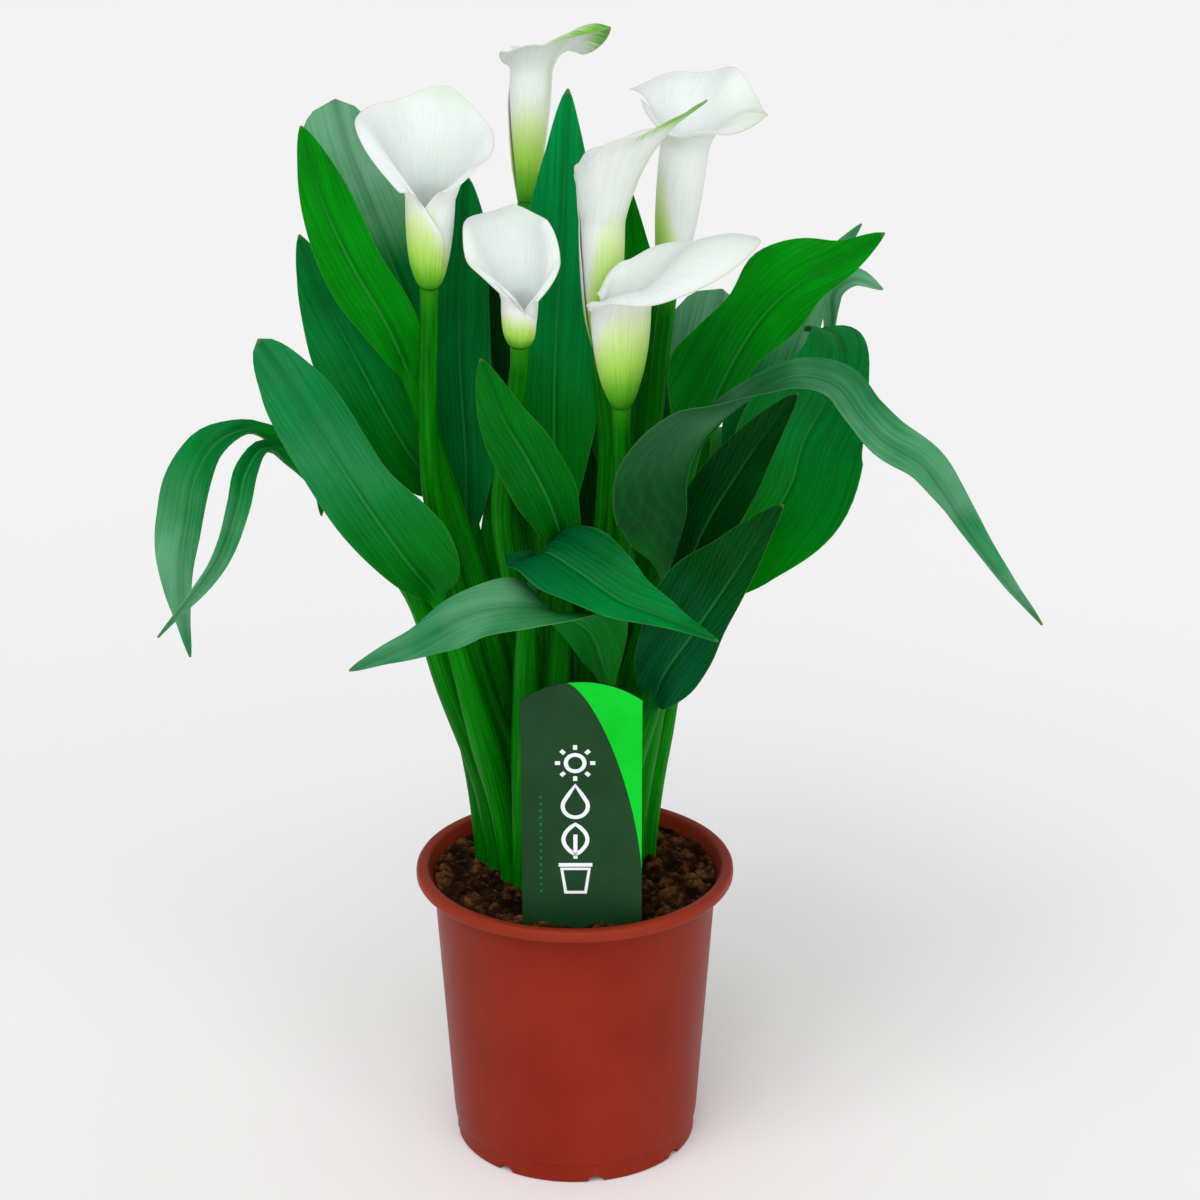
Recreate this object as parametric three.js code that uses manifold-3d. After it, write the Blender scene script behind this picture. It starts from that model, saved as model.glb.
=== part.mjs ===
// A white calla lily in a plastic nursery pot: pot, potting soil, plant label, six
// blooms (scape, spathe and spadix each) and the leaves, each on its own petiole.
// Millimetres, +Z up, the front of the plant towards -Y. The origin is the centre of
// the pot's foot, on the surface that it stands on.
import * as THREE from "three";
import { mergeVertices } from "three/addons/utils/BufferGeometryUtils.js";
import Module from "manifold-3d";

const wasm = await Module();
wasm.setup();

// Driving dimensions
const GAP = 0.35; // between pieces that touch
const POT = {
  height: 122,
  rimRadius: 65,
  lipDepth: 5.5,
  lipWidth: 4.6,
  shoulderRadius: 58.4, // the wall's radius where it would meet the rim's height
  heelRadius: 51,
  heelHeight: 12,
  footRadius: 49.8,
  footHeight: 8,
  footWidth: 4,
  wall: 1.4,
  floorHeight: 4,
  floorThickness: 1.6,
  discRadius: 17, // the flat middle of the underside, level with the foot
  sides: 40,
  drainHoles: 6,
  drainRadius: 4,
  drainCircle: 30,
  notches: 8, // round gaps under the foot
  notchRadius: 3.6,
  firstNotch: 235, // degrees
};
const SOIL = {
  top: 118,
  bump: 1.3, // height of the crumbs and hollows
  edgeDrop: 1.5,
  rings: 4,
  sides: 32,
};
const LABEL = {
  x: 3.2,
  y: -49.2, // where it meets the soil
  lean: 4.5, // degrees forward
  width: 47,
  top: 225,
  crown: 8, // rise of the rounded top
  stakeTop: 104,
  stakeTip: 66,
  thickness: 0.8,
};

// Stems stand on a hexagonal grid, upright from their feet to just clear of the soil.
const BUNDLE = { x: -4, y: 14, pitch: 11 };
const STEM = { depth: 24, clear: 3 };
// The first bend of a stem, as shares of its way to the next point, across and up.
const BEND = { across: 0.3, up: 0.45 };
const PETIOLE = { foot: 4.6, middle: 5.7, neck: 3.3, steps: 4 };
const BLADE = {
  pace: 15, // between sections along the midrib
  fewest: 7,
  blunt: 0.35, // 0 for a tip with straight sides, 1 for a round one
  merge: 0.09, // share of the length over which the round petiole flattens
  neckFold: 38, // degrees that each half is folded up at the base
  opened: 0.3, // share of the length where that fold has opened
  narrowed: 0.4, // share of the length where the petiole no longer adds width
  rib: [1.7, 1], // thickness added at the midrib, at the base and at the tip
  edge: 0.7, // thickness at the margin
  tip: 0.35, // half the width at the very tip
};
const SCAPE = { foot: 4.5, top: 3.4, straight: 12, steps: 7, sides: 8 };
const SPATHE = {
  around: 16,
  along: 7,
  nearBase: 1.25, // the larger, the closer together the sections near the base
  thickness: 0.9,
  spiral: 1.5, // how far one margin lies outside the other
  baseRadius: 3.6,
  belly: 0.5, // how soon the tube widens: the smaller, the sooner
  flap: 1.5, // how far the outer margin stands off the tube
  throat: 14, // degrees that the tube's wall leans out at its mouth
  opening: 0.84, // share of a turn that the rim runs round
  unrolls: 0.42, // share of the height where the margins start to part
  point: 5,
  pointWidth: 0.22,
};
const SPADIX = { base: 2.4, tip: 1.5, length: 0.8, sides: 8 };

const COLOURS = {
  pot: 0x9c3a26,
  soil: 0x3a2418,
  label: 0x24452a,
  leaf: 0x0f6a26,
  scape: 0x4f9a24,
  spathe: 0xf2f2ea,
  spadix: 0xe8c93a,
};

// Leaves. site: place in the bundle's grid. rise: points of the petiole. blade: the midrib
// from the blade's base to its tip. left and right: the halves' widths at even steps between
// base and tip, alike where only left is given. face: where the upper side looks, evenly
// along the midrib. fold: the angle of each half to the midrib's plane, evenly along it, and
// curl: how much further each margin turns up, both in degrees. wave: height in mm, number
// and phase of the margin's waves.
const LEAVES = [
  {
    name: "leaf_left_front_broad",
    site: [-1, -2],
    girth: 6.2,
    rise: [[-38, -23, 195]],
    blade: [
      [-52, -15, 239], [-65, -27, 263], [-80, -37, 291], [-96, -39, 319], [-108, -35, 338],
      [-118, -30, 352],
    ],
    left: [8, 11.5, 14, 14.5, 14, 13.5, 10.5],
    right: [17, 21.5, 20, 15.5, 15.5, 16, 12],
    blunt: 0.6,
    face: [[0.2, -1, 0.1], [0, -1, 0.1], [-0.2, -1, 0.2]],
    fold: [10],
    curl: 8,
    wave: [1, 1.5, 0],
  },
  {
    name: "leaf_far_left_drooping",
    site: [-3, 0],
    rise: [[-48, 7, 200], [-61, 8, 240], [-85, 3, 273]],
    blade: [
      [-118, -4, 307], [-129, -8, 309], [-139, -13, 304], [-146, -17, 292], [-149, -20, 277],
      [-152, -23, 259], [-152, -25, 241], [-150, -26, 222],
    ],
    left: [6, 8, 9, 8, 6.5, 4.5, 2.5],
    right: [5, 11, 13, 13.5, 11, 7, 3],
    face: [[0, -0.6, 1], [-0.4, -0.8, 1], [-0.5, -1, 0.5], [-0.3, -1, 0.2], [-0.2, -1, 0]],
    fold: [8],
    curl: 5,
    wave: [0.8, 1.5, 1],
  },
  {
    name: "leaf_far_left_narrow",
    site: [-2, -1],
    rise: [[-49.5, -4.5, 200], [-62, -4, 240], [-84, -9, 272]],
    blade: [
      [-110, -12, 300], [-119, -18, 305], [-125, -26, 298], [-128, -33, 286], [-136, -38, 266],
      [-159, -46, 238],
    ],
    left: [3.5, 5, 5, 4.5, 4, 3, 1.5],
    face: [[0, -0.6, 1], [0.3, -0.8, 1], [0.8, -0.8, 0.4], [0.6, -1, 0]],
    fold: [20],
    curl: 10,
    wave: [0.6, 1, 1],
  },
  {
    name: "leaf_left_behind",
    site: [-2, 0],
    girth: 5.2,
    rise: [[-36, 13, 200]],
    blade: [[-53, 10, 273], [-68, 6, 301], [-84, 2, 335], [-96, 0, 361], [-104, -2, 385]],
    left: [11, 14.5, 17, 18, 16, 11.5, 6.5],
    right: [10, 14, 15, 14.5, 13.5, 11.5, 8],
    face: [[0.3, -1, 0.1], [0.2, -1, 0.1], [-0.3, -1, 0.2]],
    fold: [12],
    curl: 8,
    wave: [1, 1.5, 2],
  },
  {
    name: "leaf_upper_left_bright",
    site: [-1, -1],
    blade: [
      [-62, -4, 326], [-71, -8, 351], [-83, -12, 375], [-93, -14, 399], [-98, -14, 417],
      [-101, -12, 429],
    ],
    left: [7, 10, 12, 12, 10.5, 8, 5],
    right: [10, 12.5, 12.5, 12, 12.5, 12, 8.5],
    face: [[0.2, -1, 0.1], [0, -1, 0.2], [-0.2, -1, 0.3]],
    fold: [12],
    curl: 6,
    wave: [0.8, 1.2, 0],
  },
  {
    name: "leaf_upper_left_back",
    site: [-3, 1],
    rise: [[-44, 22.6, 215], [-56, 18, 285]],
    blade: [[-62, 22, 342], [-71, 22, 369], [-80, 23, 394], [-87, 23, 414], [-91, 22, 432]],
    left: [9, 12, 14, 17, 19, 19, 16],
    right: [9, 12, 16, 19, 20, 19, 14],
    blunt: 0.8,
    face: [[0.1, -1, 0], [-0.1, -1, 0.1], [-0.4, -1, 0.3]],
    fold: [8],
    curl: 8,
    wave: [1, 1.2, 2],
  },
  {
    name: "leaf_upper_left_upright",
    site: [-3, 2],
    blade: [[-57, 46, 315], [-66, 50, 351], [-72, 50, 384], [-74, 48, 404], [-73, 44, 421]],
    left: [8, 12, 14.5, 14.5, 12, 8],
    right: [11, 16, 19, 19, 16, 10],
    face: [[0.1, -1, 0], [-0.1, -1, 0.1], [-0.2, -1, 0.2]],
    fold: [12],
    curl: 8,
    wave: [1, 1.5, 0],
  },
  {
    name: "leaf_low_left_arching",
    site: [2, -3],
    blade: [
      [13, -33, 212], [11, -38, 226], [6, -46, 242], [-4, -57, 252], [-20, -64, 258],
      [-38, -66, 256], [-61, -70, 245], [-84, -72, 235],
    ],
    left: [9, 14, 17, 17, 15.5, 15.5, 14.5, 9.5, 4.5],
    right: [8, 12, 15, 16, 15, 12, 9, 6, 4],
    face: [
      [0, 1, 0.1], [-0.1, 0.7, 0.5], [-0.3, 0.1, 1], [-0.3, -0.4, 1], [-0.2, -0.6, 1],
      [-0.2, -0.7, 1], [-0.2, -0.8, 1],
    ],
    fold: [20, 15, 10, 10, 10, 10],
    curl: -6,
    wave: [0.8, 1, 0],
  },
  {
    name: "leaf_low_front",
    site: [0, -3],
    blade: [
      [-17, -38, 250], [-11, -50, 274], [1, -60, 271], [18, -72, 263], [33, -78, 259],
      [54, -85, 252],
    ],
    left: [8, 15, 19, 17, 14, 9, 4],
    right: [9, 16, 18, 14, 10, 6.5, 3],
    face: [[0.4, -0.3, 1], [0, -0.7, 1], [0.2, -0.7, 1]],
    fold: [14],
    curl: -8,
    wave: [1, 1, 2],
  },
  {
    name: "leaf_middle_small",
    site: [1, -3],
    girth: 5.2,
    blade: [[-4, -31, 266], [-8, -42, 289], [-17, -49, 311], [-26, -51, 328], [-34, -46, 349]],
    left: [8, 10, 12.5, 12.5, 12, 9.5, 6],
    face: [[0.4, -1, 0], [0.1, -1, 0.1], [-0.1, -1, 0.2]],
    fold: [14],
    curl: 8,
    wave: [0.6, 1, 0],
  },
  {
    name: "leaf_centre_tall",
    site: [0, 0],
    blade: [[-6, 14, 254], [-8, 24, 295], [-7, 28, 339], [-4, 26, 386], [-2, 22, 436]],
    left: [10, 13.5, 16.5, 18, 17, 13.5, 7.5],
    right: [12, 17, 20, 21, 19.5, 15.5, 8.5],
    face: [[0, -1, 0], [0.1, -1, 0.1], [-0.3, -1, 0.1]],
    fold: [16],
    curl: 10,
    wave: [1.2, 2, 0],
  },
  {
    name: "leaf_centre_left",
    site: [-1, 0],
    girth: 5.2,
    rise: [[-22, 21, 190]],
    blade: [[-42, 26, 249], [-44, 36, 287], [-46, 42, 327], [-45, 44, 363], [-42, 42, 398]],
    left: [10, 14, 15, 14.5, 13, 11, 7.5],
    right: [9, 13, 14, 13, 12, 11, 9],
    face: [[0.2, -1, 0], [0.3, -1, 0.1], [0.4, -1, 0.1]],
    fold: [18],
    curl: 8,
    wave: [1, 1.5, 1],
  },
  {
    name: "leaf_centre_back",
    site: [-2, 2],
    blade: [[-25, 44, 255], [-30, 54, 290], [-34, 60, 327], [-35, 61, 351], [-35, 59, 374]],
    left: [10, 15, 17, 16, 13, 8],
    face: [[0, -1, 0], [-0.1, -1, 0.1], [-0.2, -1, 0.2]],
    fold: [14],
    curl: 8,
    wave: [1, 1.5, 2],
  },
  {
    name: "leaf_upper_right_bright",
    site: [2, -1],
    rise: [[37.5, 4.5, 256]],
    blade: [
      [46, 4, 295], [54, 4, 316], [64, 2, 338], [74, 0, 354], [87, -6, 368], [102, -10, 377],
      [117, -15, 389],
    ],
    left: [15, 23, 19, 15, 19, 14.5, 6.5],
    right: [8, 9, 9, 13, 14, 10, 6],
    face: [[-0.6, -1, 0.2], [-0.3, -1, 0.4], [0, -1, 0.6], [0.1, -1, 0.7]],
    fold: [10],
    curl: -4,
    wave: [1.5, 1.5, 0],
  },
  {
    name: "leaf_right_back_round",
    site: [1, 1],
    rise: [[23, 31, 200]],
    blade: [[39, 34, 283], [46, 42, 306], [53, 48, 327], [59, 50, 350]],
    left: [11, 14, 16, 17.5, 17.5, 16.5, 14],
    right: [12, 14, 15.5, 16.5, 17, 16.5, 14],
    blunt: 0.8,
    face: [[-0.3, -1, 0], [-0.3, -1, 0.2], [-0.2, -1, 0.4]],
    fold: [12],
    curl: 8,
    wave: [1, 1, 0],
  },
  {
    name: "leaf_right_back_pointed",
    site: [2, 1],
    rise: [[36, 30, 200], [50, 42, 238]],
    blade: [[62, 52, 262], [78, 66, 292], [93, 84, 324], [103, 92, 347], [118, 98, 365]],
    left: [12, 17, 16, 12, 7, 4],
    right: [7, 9, 10, 9.5, 7, 4],
    face: [[-0.3, -1, 0.2], [-0.3, -1, 0.4], [-0.3, -1, 0.5]],
    fold: [14],
    curl: 5,
    wave: [0.6, 1, 0],
  },
  {
    name: "leaf_right_back_small",
    site: [1, 2],
    rise: [[32, 43, 200], [62, 64, 255]],
    blade: [[106, 96, 318], [107, 104, 334], [116, 108, 339], [129, 110, 334]],
    left: [3.5, 5.5, 6, 5.5, 3.5],
    face: [[-0.6, -1, 0.2], [-0.3, -0.8, 1], [0.1, -0.6, 1]],
    fold: [14],
    curl: 5,
    wave: [0.3, 1, 0],
  },
  {
    name: "leaf_right_arching",
    site: [3, -2],
    rise: [[31, -22, 225]],
    blade: [
      [32, -24, 251], [39, -28, 267], [43, -31, 283], [43, -34, 296], [45, -37, 307],
      [50, -41, 318], [60, -45, 329], [71, -48, 338], [84, -51, 344], [98, -53, 341],
      [107, -56, 330], [115, -59, 322], [129, -62, 314], [138, -65, 303], [146, -68, 291],
      [156, -72, 277], [175, -76, 255],
    ],
    left: [6, 8, 9, 9, 8, 8, 8, 9, 10.5, 11, 9, 8, 6.5, 5, 2.5],
    right: [18, 27, 32, 34, 30, 22, 14, 11, 9, 9, 9, 7, 4.5, 2.5, 2],
    face: [
      [-0.9, -0.3, 0.2], [-0.9, -0.3, 0.3], [-0.8, -0.4, 0.6], [-0.4, -0.4, 1], [-0.1, -0.4, 1],
      [0.3, -0.6, 0.9], [0.5, -0.8, 0.8], [0.5, -0.8, 0.8], [0.6, -0.9, 0.6], [0.6, -1, 0.5],
    ],
    fold: [60, 50, 40, 20, 10, 10, 10, 10, 10, 20],
    foldRight: [75, 75, 72, 55, 20, 5, 5, 8, 10, 20],
    curl: 4,
    wave: [1, 2.5, 0],
  },
  {
    name: "leaf_right_broad",
    site: [3, 0],
    rise: [[39, 8, 200]],
    blade: [
      [46, 4, 230], [68, 9, 254], [85, 13, 278], [91, 20, 296], [100, 28, 310], [107, 40, 323],
      [105, 58, 329], [94, 72, 327],
    ],
    left: [14, 20, 26, 27, 24, 18, 12],
    right: [15, 21, 27.5, 28, 22, 12, 8],
    face: [[-0.6, -1, 0.1], [-0.4, -1, 0.1], [-0.2, -1, 0.4], [0, -0.4, 1], [0, 0.6, 1]],
    fold: [14],
    curl: 10,
    wave: [1.2, 1.5, 0],
  },
  {
    name: "leaf_low_right",
    site: [3, -3],
    blade: [
      [31, -36, 206], [35, -46, 223], [45, -52, 241], [56, -54, 259], [67, -54, 277],
      [79, -52, 294],
    ],
    left: [10, 16.5, 21, 22, 19.5, 13, 7.5],
    right: [11, 15, 14, 10.5, 8.5, 7, 4],
    face: [[-0.6, -1, 0.4], [-0.4, -1, 0.4], [-0.4, -1, 0.4]],
    fold: [10],
    curl: -4,
    wave: [1, 1, 0],
  },
  {
    name: "leaf_right_inner",
    site: [3, -1],
    rise: [[31, -4, 190]],
    blade: [[41, -6, 239], [51, -13, 271], [64, -18, 296], [75, -18, 313], [86, -14, 326]],
    left: [8, 12, 14, 13, 10, 6],
    face: [[-0.8, -1, 0], [-0.7, -1, 0], [-0.6, -1, 0.2]],
    fold: [14],
    curl: 6,
    wave: [1, 1, 0],
  },
  {
    name: "leaf_centre_dark",
    site: [0, 1],
    girth: 5.2,
    blade: [[0, 36, 206], [-3, 47, 241], [-6, 56, 282], [-8, 57, 324]],
    left: [8, 11, 13, 12, 9, 6],
    right: [12, 17, 18, 16, 12, 7],
    face: [[0, -1, 0], [0, -1, 0.1], [-0.2, -1, 0.2]],
    fold: [12],
    curl: 6,
    wave: [1, 1.5, 0],
  },
  {
    name: "leaf_right_inner_back",
    site: [2, 0],
    girth: 5,
    rise: [[25.3, 15, 195]],
    blade: [[30, 15, 222], [35, 17, 251], [43, 21, 279], [53, 23, 308]],
    left: [10, 16, 17, 16, 12, 7],
    face: [[-0.2, -1, 0], [-0.3, -1, 0.1], [-0.4, -1, 0.2]],
    fold: [14],
    curl: 6,
    wave: [1, 1.5, 1],
  },
  {
    name: "leaf_inner_left",
    site: [-2, 3],
    girth: 5.2,
    blade: [[-16, 50, 165], [-22, 54, 200], [-26, 58, 240], [-28, 63, 292]],
    left: [4, 6, 12, 14, 11, 6],
    right: [5, 7, 10, 12, 11, 7],
    face: [[0, -1, 0], [0, -1, 0], [0, -1, 0.1]],
    fold: [12],
    curl: 6,
    wave: [1, 1.5, 2],
  },
  {
    name: "leaf_inner_right",
    site: [0, 2],
    girth: 5.2,
    blade: [[14.4, 44.4, 190], [20, 51, 240], [24, 58, 290], [25, 63, 340], [20, 67, 392]],
    left: [8, 10, 12, 14, 15, 12, 7],
    right: [11, 16, 18, 18, 16, 12, 7],
    face: [[0, -1, 0], [-0.1, -1, 0], [-0.2, -1, 0.1]],
    fold: [12],
    curl: 6,
    wave: [1, 1.5, 1],
  },
  {
    name: "leaf_back_left_drooping",
    site: [-3, 3],
    blade: [[-46, 60, 235], [-66, 84, 272], [-88, 106, 284], [-106, 124, 262], [-112, 132, 226]],
    left: [10, 16, 17.5, 15.5, 11, 6],
    face: [[0.7, -0.7, 0.6], [0.3, -0.3, 1], [-0.5, 0.5, 1], [-0.7, 0.7, 0.4]],
    fold: [10],
    curl: 5,
    wave: [1.5, 1.5, 0],
  },
  {
    name: "leaf_back_middle_broad",
    site: [-1, 2],
    blade: [[-6, 58, 244], [-4, 76, 284], [0, 92, 322], [4, 108, 346], [8, 128, 352]],
    left: [12, 19, 20.5, 18, 13, 7],
    face: [[0, -1, 0.3], [0.1, -0.9, 0.6], [0, -0.6, 1]],
    fold: [12],
    curl: 7,
    wave: [1.5, 1.5, 1],
  },
  {
    name: "leaf_back_right_drooping",
    site: [0, 3],
    blade: [[28, 64, 228], [44, 90, 262], [60, 114, 272], [72, 132, 250], [76, 140, 214]],
    left: [10, 16, 17.5, 15.5, 11, 6],
    face: [[-0.4, -0.8, 0.6], [-0.2, -0.3, 1], [0.4, 0.6, 1], [0.6, 0.8, 0.3]],
    fold: [10],
    curl: 5,
    wave: [1.5, 1.5, 2],
  },
];

// Blooms. scape: the points that the stalk passes through below the bloom. base: where the
// spathe leaves the stalk. axis: its direction there. tip: the side where its point is.
// tube: the funnel's length and mouth: its radius. limb: how far the spathe spreads past
// the mouth, evenly from one margin round by its point to the other; flare: the angle that
// it turns out to there. seam: 1 or -1, the margin that lies outside.
const BLOOMS = [
  {
    name: "left_open",
    site: [0, -2],
    scape: [[-36, -8, 200], [-46, -8, 241], [-55, -17, 290]],
    base: [-53.8, -20.5, 370],
    axis: [0.051, -0.289, 1],
    tip: [0.17, 0.99, 0],
    tube: 38.5,
    mouth: 9.2,
    limb: [12.7, 24.3, 30.1, 35.4, 34.3, 36.6, 12.4],
    flare: [52, 44, 41, 41, 45, 46, 65],
    overlap: 45,
    seam: 1,
    point: 2,
    belly: 0.62,
  },
  {
    name: "top_middle",
    site: [-1, 1],
    scape: [[-12, 34, 260], [-16, 45, 335]],
    base: [-18.8, 51.6, 385],
    axis: [0.037, 0.134, 1],
    tip: [0.88, -0.48, 0],
    tube: 51.3,
    mouth: 8.5,
    limb: [4.2, 13.4, 18, 31.6, 17.8, 12.9, 12.4],
    flare: [69, 72, 76, 93, 112, 66, 58],
    overlap: 40,
    seam: 1,
    point: 6,
    belly: 1,
  },
  {
    name: "middle_small",
    site: [1, -2],
    scape: [[-28, -19, 276], [-24, -26, 315]],
    base: [-19.9, -29.4, 349.8],
    axis: [0.038, -0.312, 1],
    tip: [-0.19, 0.98, 0],
    tube: 20,
    mouth: 7,
    limb: [5.2, 17.8, 30, 29.9, 32.9, 24, 6],
    flare: [51, 28, 8, 37, 48, 50, 31],
    overlap: 45,
    seam: 1,
    point: 2,
    belly: 0.55,
  },
  {
    name: "centre_pointed",
    site: [1, -1],
    scape: [[12, -2, 272], [13, -4, 305]],
    base: [11.2, -5.8, 340.6],
    axis: [0.001, 0.01, 1],
    tip: [0.97, -0.26, 0],
    tube: 50.3,
    mouth: 8.5,
    limb: [19.5, 28, 41.6, 56, 39, 27.6, 21.9],
    flare: [0, 15, 33, 51, 41, 24, 7],
    overlap: 40,
    seam: 1,
    belly: 0.75,
  },
  {
    name: "top_right",
    site: [1, 0],
    scape: [[23, 24, 250], [32, 28, 305], [35, 30, 336]],
    base: [37.6, 30.3, 357.8],
    axis: [0.109, 0.096, 1],
    tip: [0.99, -0.11, 0],
    tube: 53.5,
    mouth: 9.3,
    limb: [23, 12.5, 18.5, 25.7, 35, 34.6, 29.5],
    flare: [50, 100, 98, 91, 37, 55, 78],
    overlap: 40,
    seam: -1,
    belly: 0.75,
  },
  {
    name: "front_right",
    site: [2, -2],
    scape: [[20, -24, 262], [19, -30, 296]],
    base: [18.5, -30.5, 325.6],
    axis: [-0.006, -0.094, 1],
    tip: [0.96, -0.28, 0],
    tube: 40,
    mouth: 11.1,
    limb: [2, 14.7, 30.7, 55.5, 29, 15.8, 3.6],
    flare: [62, 85, 109, 92, 71, 52, 65],
    overlap: 40,
    seam: -1,
    point: 3,
    belly: 0.8,
  },
];

const v3 = (p) => new THREE.Vector3(...p);
const radians = THREE.MathUtils.degToRad;
const clamp01 = (x) => Math.min(1, Math.max(0, x));
const smooth = (x) => clamp01(x) ** 2 * (3 - 2 * clamp01(x));
const mix = THREE.MathUtils.lerp;

// A value at share t of an evenly spaced list of numbers or vectors.
function along(list, t, blend) {
  const at = clamp01(t) * (list.length - 1);
  const i = Math.min(Math.floor(at), list.length - 2);
  return list.length === 1 ? list[0] : blend(list[i], list[i + 1], at - i);
}

function solidOf(geometry) {
  const bare = new THREE.BufferGeometry();
  bare.setAttribute("position", geometry.getAttribute("position"));
  bare.setIndex(geometry.index);
  const merged = mergeVertices(bare, 1e-3);
  return new wasm.Manifold(
    new wasm.Mesh({
      numProp: 3,
      vertProperties: merged.attributes.position.array,
      triVerts: new Uint32Array(merged.index.array),
    }),
  );
}

function geometryOf(solid) {
  const mesh = solid.getMesh();
  const positions = new Float32Array(mesh.numVert * 3);
  for (let i = 0; i < mesh.numVert; i++) {
    positions.set(mesh.vertProperties.subarray(i * mesh.numProp, i * mesh.numProp + 3), i * 3);
  }
  const geometry = new THREE.BufferGeometry();
  geometry.setAttribute("position", new THREE.BufferAttribute(positions, 3));
  geometry.setIndex(new THREE.BufferAttribute(mesh.triVerts, 1));
  return geometry;
}

function meshed(name, geometry, colour, roughness) {
  const material = new THREE.MeshStandardMaterial({ color: colour, roughness, metalness: 0 });
  const mesh = new THREE.Mesh(geometry, material);
  mesh.name = name;
  return mesh;
}

// Joins rings of points into a closed skin. Where falling(k) holds, the four-sided face
// after point k is split the other way, so both sides of a blade are split alike.
function loft(rings, falling = () => false) {
  const n = rings[0].length;
  const positions = rings.flat().flatMap((p) => [p.x, p.y, p.z]);
  const index = [];
  for (let i = 0; i + 1 < rings.length; i++) {
    for (let k = 0; k < n; k++) {
      const a = i * n + k;
      const b = i * n + ((k + 1) % n);
      const c = b + n;
      const d = a + n;
      index.push(...(falling(k) ? [a, b, d, b, c, d] : [a, b, c, a, c, d]));
    }
  }
  const last = (rings.length - 1) * n;
  for (let k = 1; k + 1 < n; k++) {
    index.push(0, k + 1, k, last, last + k, last + k + 1);
  }
  const geometry = new THREE.BufferGeometry();
  geometry.setAttribute("position", new THREE.BufferAttribute(new Float32Array(positions), 3));
  geometry.setIndex(index);
  return geometry;
}

// Where a stem stands on the bundle's grid, at height z.
function root([a, b], z) {
  return new THREE.Vector3(
    BUNDLE.x + BUNDLE.pitch * (a + b / 2),
    BUNDLE.y + BUNDLE.pitch * b * Math.sin(radians(60)),
    z,
  );
}

// A stem's path above the soil: upright at first, then leaning outwards.
function stemPath(site, points) {
  const start = root(site, SOIL.top + STEM.clear);
  const next = v3(points[0]);
  const rise = new THREE.Vector3(
    mix(start.x, next.x, BEND.across),
    mix(start.y, next.y, BEND.across),
    mix(start.z, next.z, BEND.up),
  );
  return new THREE.CatmullRomCurve3([start, rise, ...points.map(v3)], false, "centripetal");
}

// The share of a curve's length at its control point i.
function shareAt(curve, i) {
  const per = 24;
  const lengths = curve.getLengths(per * (curve.points.length - 1));
  return lengths[i * per] / lengths[lengths.length - 1];
}

const ACROSS = [-1, -0.5, 0, 0.5, 1]; // a section's points, from margin to margin
const ROUND_REACH = 78; // degrees that the round section's points reach to each side
const OTHER_MARGIN = 2.2; // phase between the two margins' waves

// The place, side and upper direction of a section across tangent that looks towards face.
function frameOf(at, tangent, face) {
  const normal = face.clone().addScaledVector(tangent, -face.dot(tangent)).normalize();
  const side = new THREE.Vector3().crossVectors(tangent, normal);
  return { at, side, normal };
}

// One half's width at share t of the blade, smoothly through its values.
function bladeHalfWidth(values, blunt, t) {
  const w = [2 * PETIOLE.neck - values[0], PETIOLE.neck, ...values, 0, 0];
  const at = clamp01(t) * (values.length + 1);
  const i = Math.min(Math.floor(at), values.length);
  const x = at - i;
  const [a, b, c, d] = w.slice(i, i + 4);
  if (i === values.length) return b * mix(1 - x, Math.sqrt(1 - x * x), blunt);
  return b + (x / 2) * (c - a + x * (2 * a - 5 * b + 4 * c - d + x * (3 * (b - c) + d - a)));
}

// How far a half is raised: by its list, or from the neck's fold to its one value.
function foldAt(values, t) {
  if (values.length > 1) return along(values, t, mix);
  return mix(BLADE.neckFold, values[0], smooth(t / BLADE.opened));
}

// How far to the side and up a point at share s of the half-width lies, and its slope.
function acrossBlade(leaf, t, s, halfWidth) {
  const fold = radians(foldAt(s < 0 ? leaf.fold : (leaf.foldRight ?? leaf.fold), t));
  const curl = radians(leaf.curl);
  const q = Math.abs(s);
  const side = (Math.sin(fold + curl * q) - Math.sin(fold)) / curl;
  const up = (Math.cos(fold) - Math.cos(fold + curl * q)) / curl;
  const [height, count, phase] = leaf.wave;
  const turn = 2 * Math.PI * count * t + phase + (s < 0 ? OTHER_MARGIN : 0);
  const widest = Math.max(...leaf.left, ...(leaf.right ?? []));
  const wave = height * Math.sin(turn) * q * q * (halfWidth / widest);
  return {
    side: Math.sign(s) * side * halfWidth,
    up: up * halfWidth + wave,
    slope: Math.sign(s) * (fold + curl * q),
  };
}

// One section of a leaf, at share t of its blade: the petiole's round one turns into the
// blade's, with its upper face first and then its lower one.
function leafRing(leaf, frame, radius, t) {
  const flat = smooth(t / BLADE.merge);
  const stalk = radius * (1 - smooth(t / BLADE.narrowed));
  const blunt = leaf.blunt ?? BLADE.blunt;
  const [left, right] = [leaf.left, leaf.right ?? leaf.left].map((values) =>
    Math.max(bladeHalfWidth(values, blunt, t), stalk, BLADE.tip),
  );
  const point = (s, face) => {
    const angle = radians(90 - ROUND_REACH * s);
    const lay = acrossBlade(leaf, t, s, s < 0 ? left : right);
    const rib = face < 0 ? mix(...BLADE.rib, t) * (1 - Math.abs(s)) ** 2 : 0;
    const out = face * (BLADE.edge / 2 + rib);
    const side = mix(Math.cos(angle) * radius, lay.side - Math.sin(lay.slope) * out, flat);
    const up = mix(face * Math.sin(angle) * radius, lay.up + Math.cos(lay.slope) * out, flat);
    return frame.at.clone().addScaledVector(frame.side, side).addScaledVector(frame.normal, up);
  };
  return [...ACROSS.map((s) => point(s, 1)), ...ACROSS.toReversed().map((s) => point(s, -1))];
}

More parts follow.
